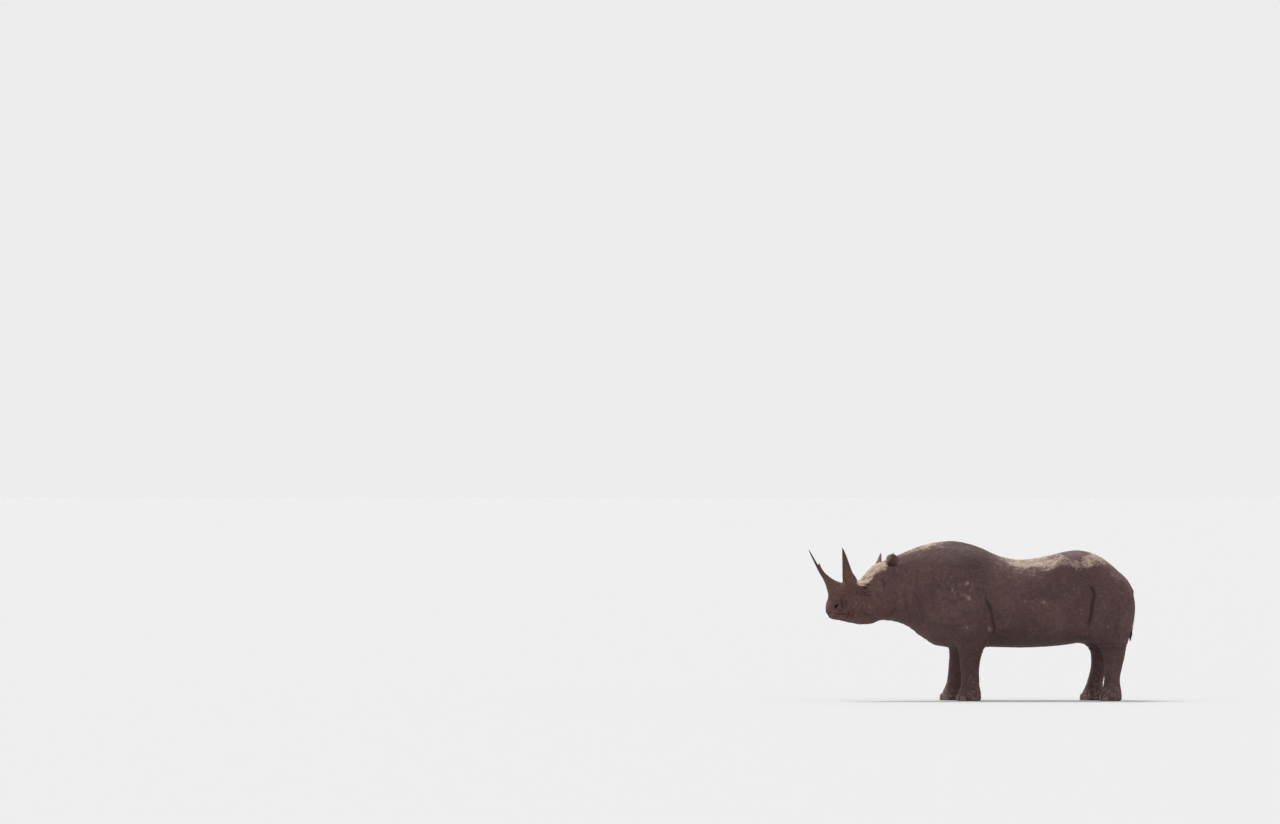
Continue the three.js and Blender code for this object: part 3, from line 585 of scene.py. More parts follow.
def shape_eye(points, name, side):
    """Lids that lie on the eyeball, an opening between them, the folds round them, and painted shade in
    them.
    """
    out, ahead, up = eye_axes(side)
    away = points - box_middle(name)
    u, w, o = away @ ahead, away @ up, away @ out
    near = (np.hypot(u, w) < 0.06) & (o > -0.03)
    opening = opening_of(u, w)
    lid_radius = EYE_RADIUS + LID_THICKNESS
    lid = lid_radius - (u**2 + w**2) / (2 * lid_radius)
    mixed = np.clip(0.5 + 0.5 * (lid - o) / LID_BLEND, 0, 1)
    raised = o + (lid - o) * mixed + LID_BLEND * mixed * (1 - mixed)
    folds = np.zeros(len(points))
    for depth, ring, width, above, start, end in LID_FOLDS:
        folds += depth * bump(opening - ring, width) * step(above * w, start, end)
    edge = 0.0012 * bump(opening - 1.16, 0.1)
    inner = np.sqrt(np.maximum((EYE_RADIUS - 0.003) ** 2 - u**2 - w**2, 0))
    target = raised - folds + edge
    target += (np.minimum(inner, target) - target) * (1 - step(opening, 0.9, 1.06))
    moved = points + out * (target - o)[:, None]
    # Painted shade round the opening and in the folds round the eye.
    dark = bump(np.maximum(opening - 1, 0), 0.25) + 0.5 * folds / LID_FOLDS[0][0]
    return np.where(near[:, None], moved, points), np.where(near, dark, 0)


def shape_nostril(points, side):
    """A deep slanting opening with a raised rim, and painted shade inside it."""
    centre = head_point(NOSTRIL_PLACE[0], NOSTRIL_SIDE * side, NOSTRIL_PLACE[1])
    out = LEFT * side * 0.88 + FORWARD * 0.47
    ahead = FORWARD * 0.88 - LEFT * side * 0.47
    away = points - centre
    a, b, o = away @ ahead, away[:, 2], away @ out
    u = a * math.cos(NOSTRIL_TILT) - b * math.sin(NOSTRIL_TILT)
    w = a * math.sin(NOSTRIL_TILT) + b * math.cos(NOSTRIL_TILT)
    w = w + 8 * (u + 0.012) ** 2 - 0.002
    near = (np.hypot(a, b) < 0.07) & (np.abs(o) < 0.05)
    ring = np.hypot(u / NOSTRIL_LENGTH, w / NOSTRIL_WIDTH)
    inside = 1 - step(ring, 0.25, 1.1)
    rim = 0.0035 * bump(ring - 1.45, 0.35) - 0.003 * bump(ring - 2.3, 0.3)
    shift = rim - NOSTRIL_DEPTH * inside
    moved = points + out * shift[:, None]
    # Painted shade inside the nostril.
    dark = 1 - step(ring, 0.7, 1.25)
    return np.where(near[:, None], moved, points), np.where(near, dark, 0)


def ear_base(points):
    """1 on the stalks of the ears, and 1 on the folds behind them."""
    f, l, z = head_coords(points)
    on_side = step(np.abs(l), 0.08, 0.11) * (1 - step(z, 1.33, 1.36))
    from_stalk, _ = along_curve(f, z, EAR_STALK)
    from_fold, _ = along_curve(f, z, EAR_FOLD)
    return on_side * bump(from_stalk, 0.030), on_side * bump(from_fold, 0.013)


def body_relief(points, normals):
    """How far the folds, ribs and wrinkles of the trunk, neck and legs move the skin."""
    x, y, z = points.T
    wander = 0.012 * np.stack([noise(points, 7, 1), noise(points, 7, 2)])
    relief = np.zeros(len(points))
    legs = near_legs(points)
    for line, width, depth in BODY_FOLDS.values():
        relief += fold_shape(x + wander[0], z + wander[1], line, width, depth)
    on_side = step(np.abs(normals[:, 1]), 0.35, 0.75)
    ribs = step(x, 0.28, 0.42) * (1 - step(x, 0.86, 1.0)) * bump(z - 0.95, 0.20)
    rib_turn = 2 * np.pi * (x + 0.16 * z + wander[0]) / RIB_PITCH
    relief += RIB_HEIGHT * ribs * on_side * np.cos(rib_turn)
    neck = step(-x, 0.36, 0.46) * (1 - step(-x, 0.70, 0.80)) * (1 - step(z, 1.18, 1.34))
    ripple = np.abs(np.sin(np.pi * (x - 0.18 * z + 1.6 * wander[0]) / NECK_PITCH)) ** 0.7
    relief += NECK_HEIGHT * neck * (ripple - 0.7)
    ring_z = z + 0.006 * noise(points, 14, 3)
    uneven = 0.7 + 0.3 * noise(points, 9, 4)
    for leg in LEGS:
        rings = FORELEG_RINGS if leg.startswith("fore") else HINDLEG_RINGS
        middle = box_middle(f"{leg}_lower")
        here = legs * (np.abs(x - middle[0]) < 0.3) * (y * middle[1] > 0)
        for height, width, depth in rings:
            relief -= here * depth * bump(ring_z - height, width) * uneven
    _, tail_y, tail_radius = read_off(z, TAIL_AXIS)
    beside = np.abs(y - tail_y) - tail_radius
    along_tail = step(x, 1.40, 1.46) * step(z, 0.66, 0.74) * (1 - step(z, 1.06, 1.16))
    relief -= TAIL_GROOVE * along_tail * bump(beside - 0.009, 0.008)
    relief += TAIL_HEIGHT * along_tail * (1 - step(beside, -0.020, 0.002))
    off_sole = step(z, 0.03, 0.07)
    relief += 0.0016 * fractal(points, 11, 5) * off_sole
    relief += 0.0009 * fractal(points, 34, 6, 2) * off_sole
    return relief


def head_relief(points):
    """How far the folds and the mouth of the head move the skin."""
    f, l, z = head_coords(points)
    wander = 0.004 * np.stack([noise(points, 22, 7), noise(points, 22, 8)])
    relief = np.zeros(len(points))
    for line, width, depth in HEAD_FOLDS.values():
        relief += HEAD_FOLD_GAIN * fold_shape(f + wander[0], z + wander[1], line, width, depth)
    away, place = along_curve(f, z + 0.3 * wander[1], MOUTH_LINE)
    lips = 0.003 * bump(away - 0.011, 0.007) - MOUTH_DEPTH * bump(away, MOUTH_WIDTH)
    relief += lips * (1 - step(place, 0.86, 1)) * step(f, 0.49, 0.53)
    forehead = bump(f - 0.24, 0.10) * step(z, 1.15, 1.22)
    across = np.mod(f + z + wander[0], FOREHEAD_PITCH) - FOREHEAD_PITCH / 2
    relief -= FOREHEAD_HEIGHT * forehead * bump(across, 0.005)
    relief += 0.0009 * fractal(points, 45, 9, 2)
    in_head = np.stack([f, l, z], 1)
    muzzle = step(f, 0.42, 0.56)
    across_nose = creases(in_head * [1.5, 0.35, 0.6], 34, 30)
    down_cheek = creases(in_head * [1.1, 1.0, 0.7], 22, 31)
    relief -= 0.0034 * muzzle * across_nose + 0.0030 * (1 - 0.6 * muzzle) * down_cheek
    relief -= 0.0016 * creases(in_head, 52, 32)
    return relief


def hooked_lip(points):
    """The middle of the upper lip drawn down into a point over the lower one."""
    f, l, z = head_coords(points)
    share = bump(l, 0.030) * step(f, 0.62, 0.70) * bump(z - 0.872, 0.032)
    return points + share[:, None] * (0.004 * FORWARD - 0.015 * UP)


COLLAR_REACH = 0.03  # how far from a horn the rough rim of its skin goes


def horn_collar(points, relief):
    """The rough rim of skin where it meets the horns, and how near each point is to them."""
    f, _, z = head_coords(points)
    close = np.zeros(len(points))
    for name in HORNS:
        shape = BVHTree.FromPolygons(*(list(part) for part in node_shape(name)))
        for i in np.flatnonzero((f > 0.30) & (z > 0.90)):
            _, _, _, distance = shape.find_nearest(points[i], COLLAR_REACH)
            if distance is not None:
                close[i] = max(close[i], 1 - distance / COLLAR_REACH)
    rough = 0.5 + 0.5 * noise(points, 90, 10)
    return relief + close * (0.0015 + 0.003 * rough) * step(close, 0.1, 0.6), close


def wants_detail(points):
    """Where the skin needs smaller faces: on the ears, on the muzzle and round the eyes."""
    f, _, z = head_coords(points)
    muzzle = (f > 0.48) & (z < 1.0)
    return (near_ears(points, EAR_FINER) > 0.5) | muzzle | near_eyes(points, EYE_REACH)


def near_folds(points):
    """True round the folds of the trunk, on the lower legs and round the tail."""
    x, y, z = points.T
    found = (near_legs(points) > 0.3) & (z > 0.09)
    found |= (x > 1.38) & (np.abs(y - TAIL_Y) < 0.085) & (z > 0.62) & (z < 1.2)
    for line, width, _ in BODY_FOLDS.values():
        away, _ = along_curve(x, z, line)
        found |= away < 2.2 * width
    return found & (x > FINE_TO / 2)


def near_eyes(points, reach):
    """True where an eye is nearer than `reach`."""
    places = [box_middle(name) for name in EYES]
    return np.min([np.linalg.norm(points - c, axis=1) for c in places], axis=0) < reach


STALK_SHADE = 0.22  # how dark the painted shade on the stalk of an ear is
HUMP_SHADE = 0.62  # how dark the painted shade on the top of the hump is
PALER_BY_TAIL = 0.55  # how much less painted shade the folds by the tail get


def sculpt(mesh):
    """Moves the skin's points to give it its folds and features, and keeps what they are."""
    refine(mesh, near_folds(points_of(mesh)))
    refine(mesh, wants_detail(points_of(mesh)))
    for reach in EYE_CLOSER_REACHES:
        refine(mesh, near_eyes(points_of(mesh), reach))
    points = points_of(mesh)
    edges = edges_of(mesh)
    fine = wants_detail(points).astype(float)
    points = smoothed(points, edges, 0.5 * fine, 6)
    points = smoothed(points, edges, 0.5 * near_ears(points, EAR_SMOOTHED), 10)
    put_points(mesh, points)
    normals = normals_of(mesh)
    f, _, _ = head_coords(points)
    on_head = step(f, -0.02, 0.08)
    ears = near_ears(points, EAR_PLAIN)
    relief = body_relief(points, normals) * (1 - on_head) + head_relief(points) * on_head
    stalk, fold = ear_base(points)
    relief = relief * (1 - ears) + STALK_HEIGHT * stalk + EAR_FOLD_HEIGHT * fold
    relief, collar = horn_collar(points, relief)
    points = points + normals * (relief - COAT_DEPTH)[:, None]
    dark = np.zeros(len(points))
    for name, side in EYES.items():
        points, lids = shape_eye(points, name, side)
        points, nostril = shape_nostril(points, side)
        dark = np.maximum(dark, np.maximum(0.8 * lids, nostril))
    points = hooked_lip(points)
    points[:, 2] = np.maximum(points[:, 2], 0)
    put_points(mesh, points)
    rear = step(points[:, 0], 1.38, 1.44)
    # Painted shade in the folds, deeper folds darker, with less of it by the tail.
    fold_and_hump_shade = (1 - PALER_BY_TAIL * rear) * np.clip(-relief / FOLD_SHADE_DEPTH, 0, 1) ** 1.4
    # Painted shade on the upward faces of the hump, kept with the painted shade of the folds.
    painted_hump_shade = HUMP_SHADE * bump(points[:, 0] + 0.06, 0.25) * step(normals_of(mesh)[:, 2], 0.2, 0.7)
    put_attribute(mesh, "fold_and_hump_shade", np.maximum(fold_and_hump_shade, painted_hump_shade))
    # Painted shade in the lids, the nostrils and the stalks of the ears.
    put_attribute(mesh, "dark", np.maximum(dark, STALK_SHADE * stalk))
    put_attribute(mesh, "collar", collar)
    put_attribute(mesh, "on_head", step(f, -0.05, 0.50))
    put_attribute(mesh, "on_legs", near_legs(points))
    put_marks(mesh, points)


# The pale band along each side of the back, partly dust and partly painted sunlight: X, how far below
# the top of the back the band starts and ends, and how strong it is.
BACK_BAND = [
    (0.10, -0.05, 0.01, 0.00),
    (0.20, -0.05, 0.02, 0.45),
    (0.30, -0.05, 0.05, 0.75),
    (0.40, -0.05, 0.075, 1.00),
    (0.50, -0.05, 0.08, 1.00),
    (0.60, -0.05, 0.09, 0.95),
    (0.70, -0.05, 0.11, 0.92),
    (0.80, -0.03, 0.14, 0.78),
    (0.90, 0.045, 0.18, 0.62),
    (1.00, 0.075, 0.21, 0.64),
    (1.10, 0.02, 0.18, 0.80),
    (1.20, -0.05, 0.14, 0.78),
    (1.30, -0.05, 0.06, 0.50),
    (1.42, -0.05, 0.02, 0.30),
]
BACK_SLICE = 0.008  # the top of the back at those X is read this far to both sides of each
# The lower edge of the painted sunlight on each side of the forehead, as f and Z in the head's frame.
FOREHEAD_EDGE = [(0.06, 1.380), (0.10, 1.342), (0.143, 1.305), (0.235, 1.262), (0.281, 1.182)]
FOREHEAD_EDGE += [(0.353, 1.118), (0.43, 1.112)]


def back_top(points):
    """The height of the top of the back at each point's X, read from the skin."""
    x, _, z = points.T
    places = [row[0] for row in BACK_BAND]
    tops = [z[np.abs(x - place) < BACK_SLICE].max() for place in places]
    return np.interp(x, places, tops)


def dust_and_sunlight_on(points, normals):
    """How pale the skin is with dust and painted sunlight: most on the top of the head and in a band
    along the back.
    """
    x, _, z = points.T
    f, _, _ = head_coords(points)
    cloud = fractal(points, 5, 11)
    upward = step(normals[:, 2] + 0.14 * cloud, 0.25, 0.85) * step(z, 0.9, 1.1)
    # The band along the back: dust, and painted sunlight where the light grazes the back.
    start, end, band_strength = read_off(x, BACK_BAND)
    below = back_top(points) - z + 0.035 * cloud
    band = band_strength * step(below - start, -0.02, 0.02) * (1 - step(below - end, -0.025, 0.03))
    back = step(x, 0.14, 0.34) * (1 - 0.9 * bump(x - 0.98, 0.18))
    # Painted sunlight on the top of the forehead.
    head = step(f, 0.04, 0.12) * (1 - step(f + 0.02 * cloud, 0.395, 0.43))
    above = z - read_off(f, FOREHEAD_EDGE)[0]
    ragged = 0.04 * cloud + 0.014 * noise(points, 38, 16)
    forehead = head * step(above + ragged, -0.028, 0.008)
    # Painted sunlight on the top of the neck.
    neck = bump(x + 0.46, 0.2) * step(normals[:, 2], 0.66, 0.88)
    feet = 0.30 * (1 - step(z + 0.05 * cloud, 0.05, 0.30))
    level = step(normals[:, 2], 0.90, 0.98)
    # Dust, and painted sunlight, on the faces that look up.
    general = upward * (0.03 + 0.20 * back) + (0.03 + 0.30 * back) * level
    return np.max([general, band, forehead, neck, feet], axis=0)


def inside_cups(points, normals):
    """1 on the hollow sides of the ears."""
    found = np.zeros(len(points))
    for ear in EARS.values():
        root, tip, faces = ear_axes(ear)
        place = (points - root) @ (tip - root) / ((tip - root) @ (tip - root))
        hollow = step(place, 0.28, 0.38) * step(normals @ faces, 0.1, 0.6)
        found = np.maximum(found, hollow)
    return found * near_ears(points, EAR_HOLLOW)


# How much paler the ridge before the elbow's fold is, and how strong the painted highlight on the fold
# behind an ear is.
ELBOW_RIDGE_PALE, EAR_FOLD_HIGHLIGHT = 0.28, 0.22


def put_marks(mesh, points):
    """Keeps where the skin has dust or painted sunlight, sores or pink."""
    x, _, z = points.T
    f, _, _ = head_coords(points)
    normals = normals_of(mesh)
    elbow, place = along_curve(x + 0.028, z, ELBOW_FOLD)
    # A paler line along the ridge before the elbow's fold.
    ridge = ELBOW_RIDGE_PALE * bump(elbow, 0.014) * bump(place - 0.5, 0.3)
    # A painted highlight on the fold behind each ear.
    _, ear_fold = ear_base(points)
    dust_and_sunlight = np.max([dust_and_sunlight_on(points, normals), ridge, EAR_FOLD_HIGHLIGHT * ear_fold], axis=0)
    put_attribute(mesh, "dust_and_sunlight", dust_and_sunlight)
    sore = np.zeros(len(points))
    ragged = 0.55 * noise(points, 42, 12) + 0.35 * noise(points, 95, 13)
    for at_x, at_z, radius in SORES:
        away = np.hypot(x - at_x, 0.8 * (z - at_z)) + radius * ragged
        sore = np.maximum(sore, 1 - step(away, radius * 0.3, radius))
    rubbed = bump(x + 0.09, 0.13) * bump(z - 1.06, 0.10)
    rubbed += 0.4 * bump(x - 0.62, 0.2) * bump(z - 0.93, 0.12)
    flecks = step(noise(points * [1, 1, 0.6], 75, 14) + 0.5 * noise(points, 28, 15), 0.35, 0.8)
    sore = np.maximum(sore, 0.55 * rubbed * flecks)
    put_attribute(mesh, "sore", sore * step(-normals[:, 1], 0.2, 0.5))
    lips = 0.55 * bump(np.hypot(f - 0.655, z - 0.850), 0.022)
    lips += 0.6 * bump(np.hypot(f - 0.715, z - 0.905), 0.016)
    cups = 0.25 * inside_cups(points, normals)
    put_attribute(mesh, "pink", np.maximum(lips * step(f, 0.55, 0.6), cups))


def make_skin():
    mesh = smooth_body()
    sculpt(mesh)
    skin = new_piece("skin", mesh)
    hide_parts(*FLESH)
    return skin


skin = make_skin()

# ---------------------------------------------------------------- horns, nails and eyes

# The middle line of each horn, as f and Z in the head's frame.
HORN_LINES = {
    "horn_front": [(0.578, 1.047), (0.634, 1.106), (0.712, 1.196), (0.790, 1.290), (0.887, 1.465)],
    "horn_rear": [(0.453, 1.124), (0.478, 1.205), (0.507, 1.350), (0.538, 1.482)],
}
HORN_VOXEL, NAIL_VOXEL = 0.0030, 0.0026
HORN_DEPTH, NAIL_DEPTH = 0.0008, 0.0006  # how far their surfaces lie inside the solids
HORN_RINGS, NAIL_LINES = 0.045, 0.0075  # how far apart a horn's rings and a nail's lines are
CORNEA_RISE, CORNEA_WIDTH = 0.075, 0.48  # as a share of the eye's radius, and as an angle


def horn_coords(points, line):
    """Each point's angle round a horn, its distance from the middle line and its place along it."""
    f, l, z = head_coords(points)
    line = np.array(curve_points(line, 40))
    _, place = along_line(f, z, line)
    places = np.linspace(0, 1, len(line))
    slopes = unit(np.gradient(line, axis=0))
    middle_f, middle_z, slope_f, slope_z = (
        np.interp(place, places, values) for values in (*line.T, *slopes.T)
    )
    across = (f - middle_f) * slope_z - (z - middle_z) * slope_f
    return np.arctan2(l, across), np.hypot(l, across), place


def make_horn(name):
    """A horn of fibres that run from its ragged base to its tip."""
    mesh = remeshed(*node_shape(name), HORN_VOXEL)
    points = points_of(mesh)
    _, radius, _ = horn_coords(points, HORN_LINES[name])
    points = smoothed(points, edges_of(mesh), 0.5 * step(radius, -0.004, 0.05), 80)
    put_points(mesh, points)
    angle, radius, place = horn_coords(points, HORN_LINES[name])
    round_horn = np.stack([np.cos(angle), np.sin(angle), 0.9 * place], 1)
    size = np.clip(radius / 0.06, 0.12, 1)
    at_base = 1 - step(place, 0.05, 0.38)
    relief = size * (0.0011 * noise(round_horn, 6.5, 20) + 0.0007 * noise(round_horn, 15, 21))
    ring_turn = 2 * np.pi * (place + 0.006 * noise(points, 40, 22)) / HORN_RINGS
    relief += size * 0.0009 * at_base * np.sin(ring_turn)
    relief += 0.0022 * at_base * fractal(points * [1, 1, 0.6], 55, 23)
    put_points(mesh, points + normals_of(mesh) * (relief - HORN_DEPTH)[:, None])
    put_attribute(mesh, "along", place)
    put_attribute(mesh, "round_x", 0.5 + 0.5 * np.cos(angle))
    put_attribute(mesh, "round_y", 0.5 + 0.5 * np.sin(angle))
    horn = new_piece(name + "_fibres", mesh)
    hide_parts(name)
    return horn


def make_nail(name):
    """A nail with growth lines, worn at its lower edge."""
    mesh = remeshed(*node_shape(name), NAIL_VOXEL)
    points = points_of(mesh)
    points = smoothed(points, edges_of(mesh), np.full(len(points), 0.4), 12)
    low, high = points[:, 2].min(), points[:, 2].max()
    place = (points[:, 2] - low) / (high - low)
    put_points(mesh, points)
    lines = np.sin(2 * np.pi * (points[:, 2] + 0.0015 * noise(points, 60, 25)) / NAIL_LINES)
    relief = 0.0004 * lines * step(place, 0.1, 0.3) - 0.0015 * (1 - step(place, 0.0, 0.25))
    relief += 0.0006 * noise(points * [1, 1, 0.2], 220, 26)
    points = points + normals_of(mesh) * (relief - NAIL_DEPTH)[:, None]
    points[:, 2] = np.maximum(points[:, 2], 0)
    put_points(mesh, points)
    put_attribute(mesh, "along", place)
    nail = new_piece(name + "_grown", mesh)
    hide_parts(name)
    return nail


def make_eye(name, side):
    """An eyeball with a bulging cornea; its iris and pupil are kept as attributes."""
    out, _, _ = eye_axes(side)
    work = bmesh.new()
    bmesh.ops.create_uvsphere(work, u_segments=72, v_segments=56, radius=EYE_RADIUS)
    mesh = bpy.data.meshes.new("eye")
    work.to_mesh(mesh)
    work.free()
    points = points_of(mesh)
    turn = Vector((0, 0, 1)).rotation_difference(Vector(out)).to_matrix()
    angle = np.arccos(np.clip(points[:, 2] / EYE_RADIUS, -1, 1))
    points *= (1 + CORNEA_RISE * bump(angle, CORNEA_WIDTH))[:, None]
    points = points @ np.array(turn).T + box_middle(name)
    put_points(mesh, points)
    put_attribute(mesh, "iris", 1 - step(angle, 0.56, 0.66))
    put_attribute(mesh, "pupil", 1 - step(angle, 0.23, 0.27))
    eye = new_piece(name + "_ball", mesh)
    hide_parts(name)
    return eye


horns = [make_horn(name) for name in HORNS]
nails = [make_nail(name) for name in NAILS]
eyes = [make_eye(name, side) for name, side in EYES.items()]

# ---------------------------------------------------------------- hair

HAIR_RINGS = np.array([0, 0.35, 0.7])
HAIR_TAPER = 0.7  # how much of a hair's width is gone at its last ring
EAR_HAIR_WIDTH, BRISTLE_WIDTH, LASH_WIDTH = 0.0006, 0.0011, 0.0003
UV_PATCH = 0.003  # how large a hair is on the unwrap
rng = np.random.default_rng(4)


def make_hairs(name, hairs, width):
    """Tapering three-sided hairs, each a (root, direction, length, bend, place on the unwrap)."""
    roots, ways, lengths, bends, places = (np.array(part) for part in zip(*hairs))
    count, rings = len(roots), len(HAIR_RINGS)
    ways = unit(ways)
    side = unit(np.cross(ways, [0.31, 0.87, 0.38]))
    third = np.cross(ways, side)
    points = np.zeros((count, rings * 3 + 1, 3))
    uvs = np.zeros((count, rings * 3 + 1, 2))
    for i, t in enumerate(HAIR_RINGS):
        middle = roots + (ways * t + bends * t * t) * lengths[:, None]
        for k in range(3):
            turn = 2 * math.pi * k / 3
            corner = width * (1 - HAIR_TAPER * t) * (side * math.cos(turn) + third * math.sin(turn))
            points[:, i * 3 + k] = middle + corner
            uvs[:, i * 3 + k] = places + UV_PATCH * np.array([t, k / 3])
    points[:, -1] = roots + (ways + bends) * lengths[:, None]
    uvs[:, -1] = places + UV_PATCH * np.array([1, 0.5])
    pattern = [[2, 1, 0]]
    for i in range(rings - 1):
        for k in range(3):
            n = (k + 1) % 3
            pattern.append([i * 3 + k, i * 3 + n, i * 3 + 3 + n, i * 3 + 3 + k])
    last = rings * 3 - 3
    pattern += [[last + k, last + (k + 1) % 3, rings * 3] for k in range(3)]
    size = rings * 3 + 1
    faces = [[index + size * hair for index in face] for hair in range(count) for face in pattern]
    mesh = mesh_from(points.reshape(-1, 3), faces)
    corners = read(mesh.loops, "vertex_index", 1, np.int32)
    layer = mesh.uv_layers.new(name="OFBake")
    layer.data.foreach_set("uv", uvs.reshape(-1, 2)[corners].astype(np.float32).ravel())
    put_attribute(mesh, "shade", np.repeat(rng.random(count), size))
    return new_piece(name, mesh)


# The skin's surface, for rays and nearest places.
SURFACE = BVHTree.FromObject(skin, bpy.context.evaluated_depsgraph_get())


def skin_from(outside, middle, outward, reach):
    """Where the skin round a middle line is, seen from outside, or None beyond its reach."""
    place, _, _, _ = SURFACE.ray_cast(Vector(outside), Vector(-outward), 0.2)
    near = place is not None and np.linalg.norm(np.array(place) - middle) <= reach
    return np.array(place) if near else None


EAR_HAIRS = 420
EAR_REACH = 0.088  # nothing further than this from an ear's middle line is the ear


def make_ear_fringe(name, ear):
    """Short hair on the rim of an ear, longest at its tip."""
    root, tip, faces = ear_axes(ear)
    axis = unit(tip - root)
    faces = unit(faces - axis * (faces @ axis))
    side = np.cross(axis, faces)
    found = []
    for _ in range(EAR_HAIRS):
        t = 0.34 + 0.66 * rng.random() ** 0.8
        across = 1 if rng.random() < 0.5 else -1
        forward = rng.uniform(-0.008, 0.03)
        middle = root + (tip - root) * t - faces * ear["bow"] * math.sin(math.pi * t)
        outward = side * across
        if t > 0.93:
            outward = unit(side * rng.uniform(-1, 1) + axis * 1.2)
        outside = middle + outward * 0.12 + faces * forward
        hit = skin_from(outside, middle, outward, EAR_REACH)
        if hit is None:
            continue
        way = outward * 0.6 + axis * rng.uniform(0.7, 1.3) + faces * rng.uniform(-0.2, 0.4)
        length = (0.006 + 0.008 * step(t, 0.5, 1)) * rng.uniform(0.6, 1.15)
        place = (0.05 + 0.9 * t, 0.25 + 0.25 * across + 2 * forward + 0.2)
        start = hit - unit(way) * 0.002
        found.append((start, way + 0.15 * rng.normal(size=3), length, axis * 0.25, place))
    return make_hairs(name + "_fringe", found, EAR_HAIR_WIDTH)


TAIL_REACH = 0.033  # nothing further than this from its middle line is the tail
TIP_BRISTLES, SIDE_BRISTLES = 520, 420


def make_tail_bristles():
    """Coarse bristles round the last fifth of the tail, which hang in a tuft from its tip."""
    found = []
    for i in range(TIP_BRISTLES + SIDE_BRISTLES):
        at_tip = i < TIP_BRISTLES
        z = rng.uniform(0.655, 0.712) if at_tip else 0.70 + 0.17 * rng.random() ** 1.3
        turn = rng.uniform(0, 2 * math.pi)
        outward = np.array([math.cos(turn), math.sin(turn), 0])
        middle_x, middle_y, _ = read_off(z, TAIL_AXIS)
        middle = np.array([middle_x, middle_y, z])
        hit = skin_from(middle + outward * 0.045, middle, outward, TAIL_REACH)
        if hit is None:
            continue
        spread = rng.uniform(0.05, 0.30) if at_tip else rng.uniform(0.25, 0.5)
        length = rng.uniform(0.060, 0.098) if at_tip else rng.uniform(0.026, 0.052)
        way = outward * spread - UP + 0.05 * rng.normal(size=3)
        bend = -outward * spread * (0.8 if at_tip else 0.5)
        found.append((hit - outward * 0.002, way, length, bend, (turn / 7, 0.1 + 3 * (z - 0.65))))
    return make_hairs("tail_bristles", found, BRISTLE_WIDTH)


UPPER_LASHES, LOWER_LASHES = 46, 22
UPPER_LASH, LOWER_LASH = 0.012, 0.006  # how long they are


def make_lashes(name, side):
    """Lashes along the edges of both lids."""
    out, ahead, up = eye_axes(side)
    found = []
    for i in range(UPPER_LASHES + LOWER_LASHES):
        upper = 1 if i < UPPER_LASHES else -1
        turn = rng.uniform(0.12, 0.88) * math.pi
        height = EYE_HALF_HEIGHT * (UPPER_LID if upper > 0 else LOWER_LID)
        u = EYE_HALF_LENGTH * math.cos(turn) * 1.05
        w = upper * height * math.sin(turn) ** 1.18 * 1.14
        edge = box_middle(name) + ahead * u + up * w + out * EYE_RADIUS
        place, _, _, _ = SURFACE.find_nearest(Vector(edge))
        way = out + ahead * math.cos(turn) * 0.5 + up * upper * (0.25 if upper > 0 else 0.6)
        length = (UPPER_LASH if upper > 0 else LOWER_LASH) * rng.uniform(0.7, 1.1)
        start = np.array(place) - unit(way) * 0.001
        way = way + 0.1 * rng.normal(size=3)
        bend = up * 0.15 - out * 0.1
        found.append((start, way, length, bend, (turn / 4, 0.5 + 0.2 * upper)))
    return make_hairs(name + "_lashes", found, LASH_WIDTH)


fringes = [make_ear_fringe(name, ear) for name, ear in EARS.items()]
bristles = make_tail_bristles()
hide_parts("tail_tuft")
lashes = [make_lashes(name, side) for name, side in EYES.items()]

# ---------------------------------------------------------------- materials


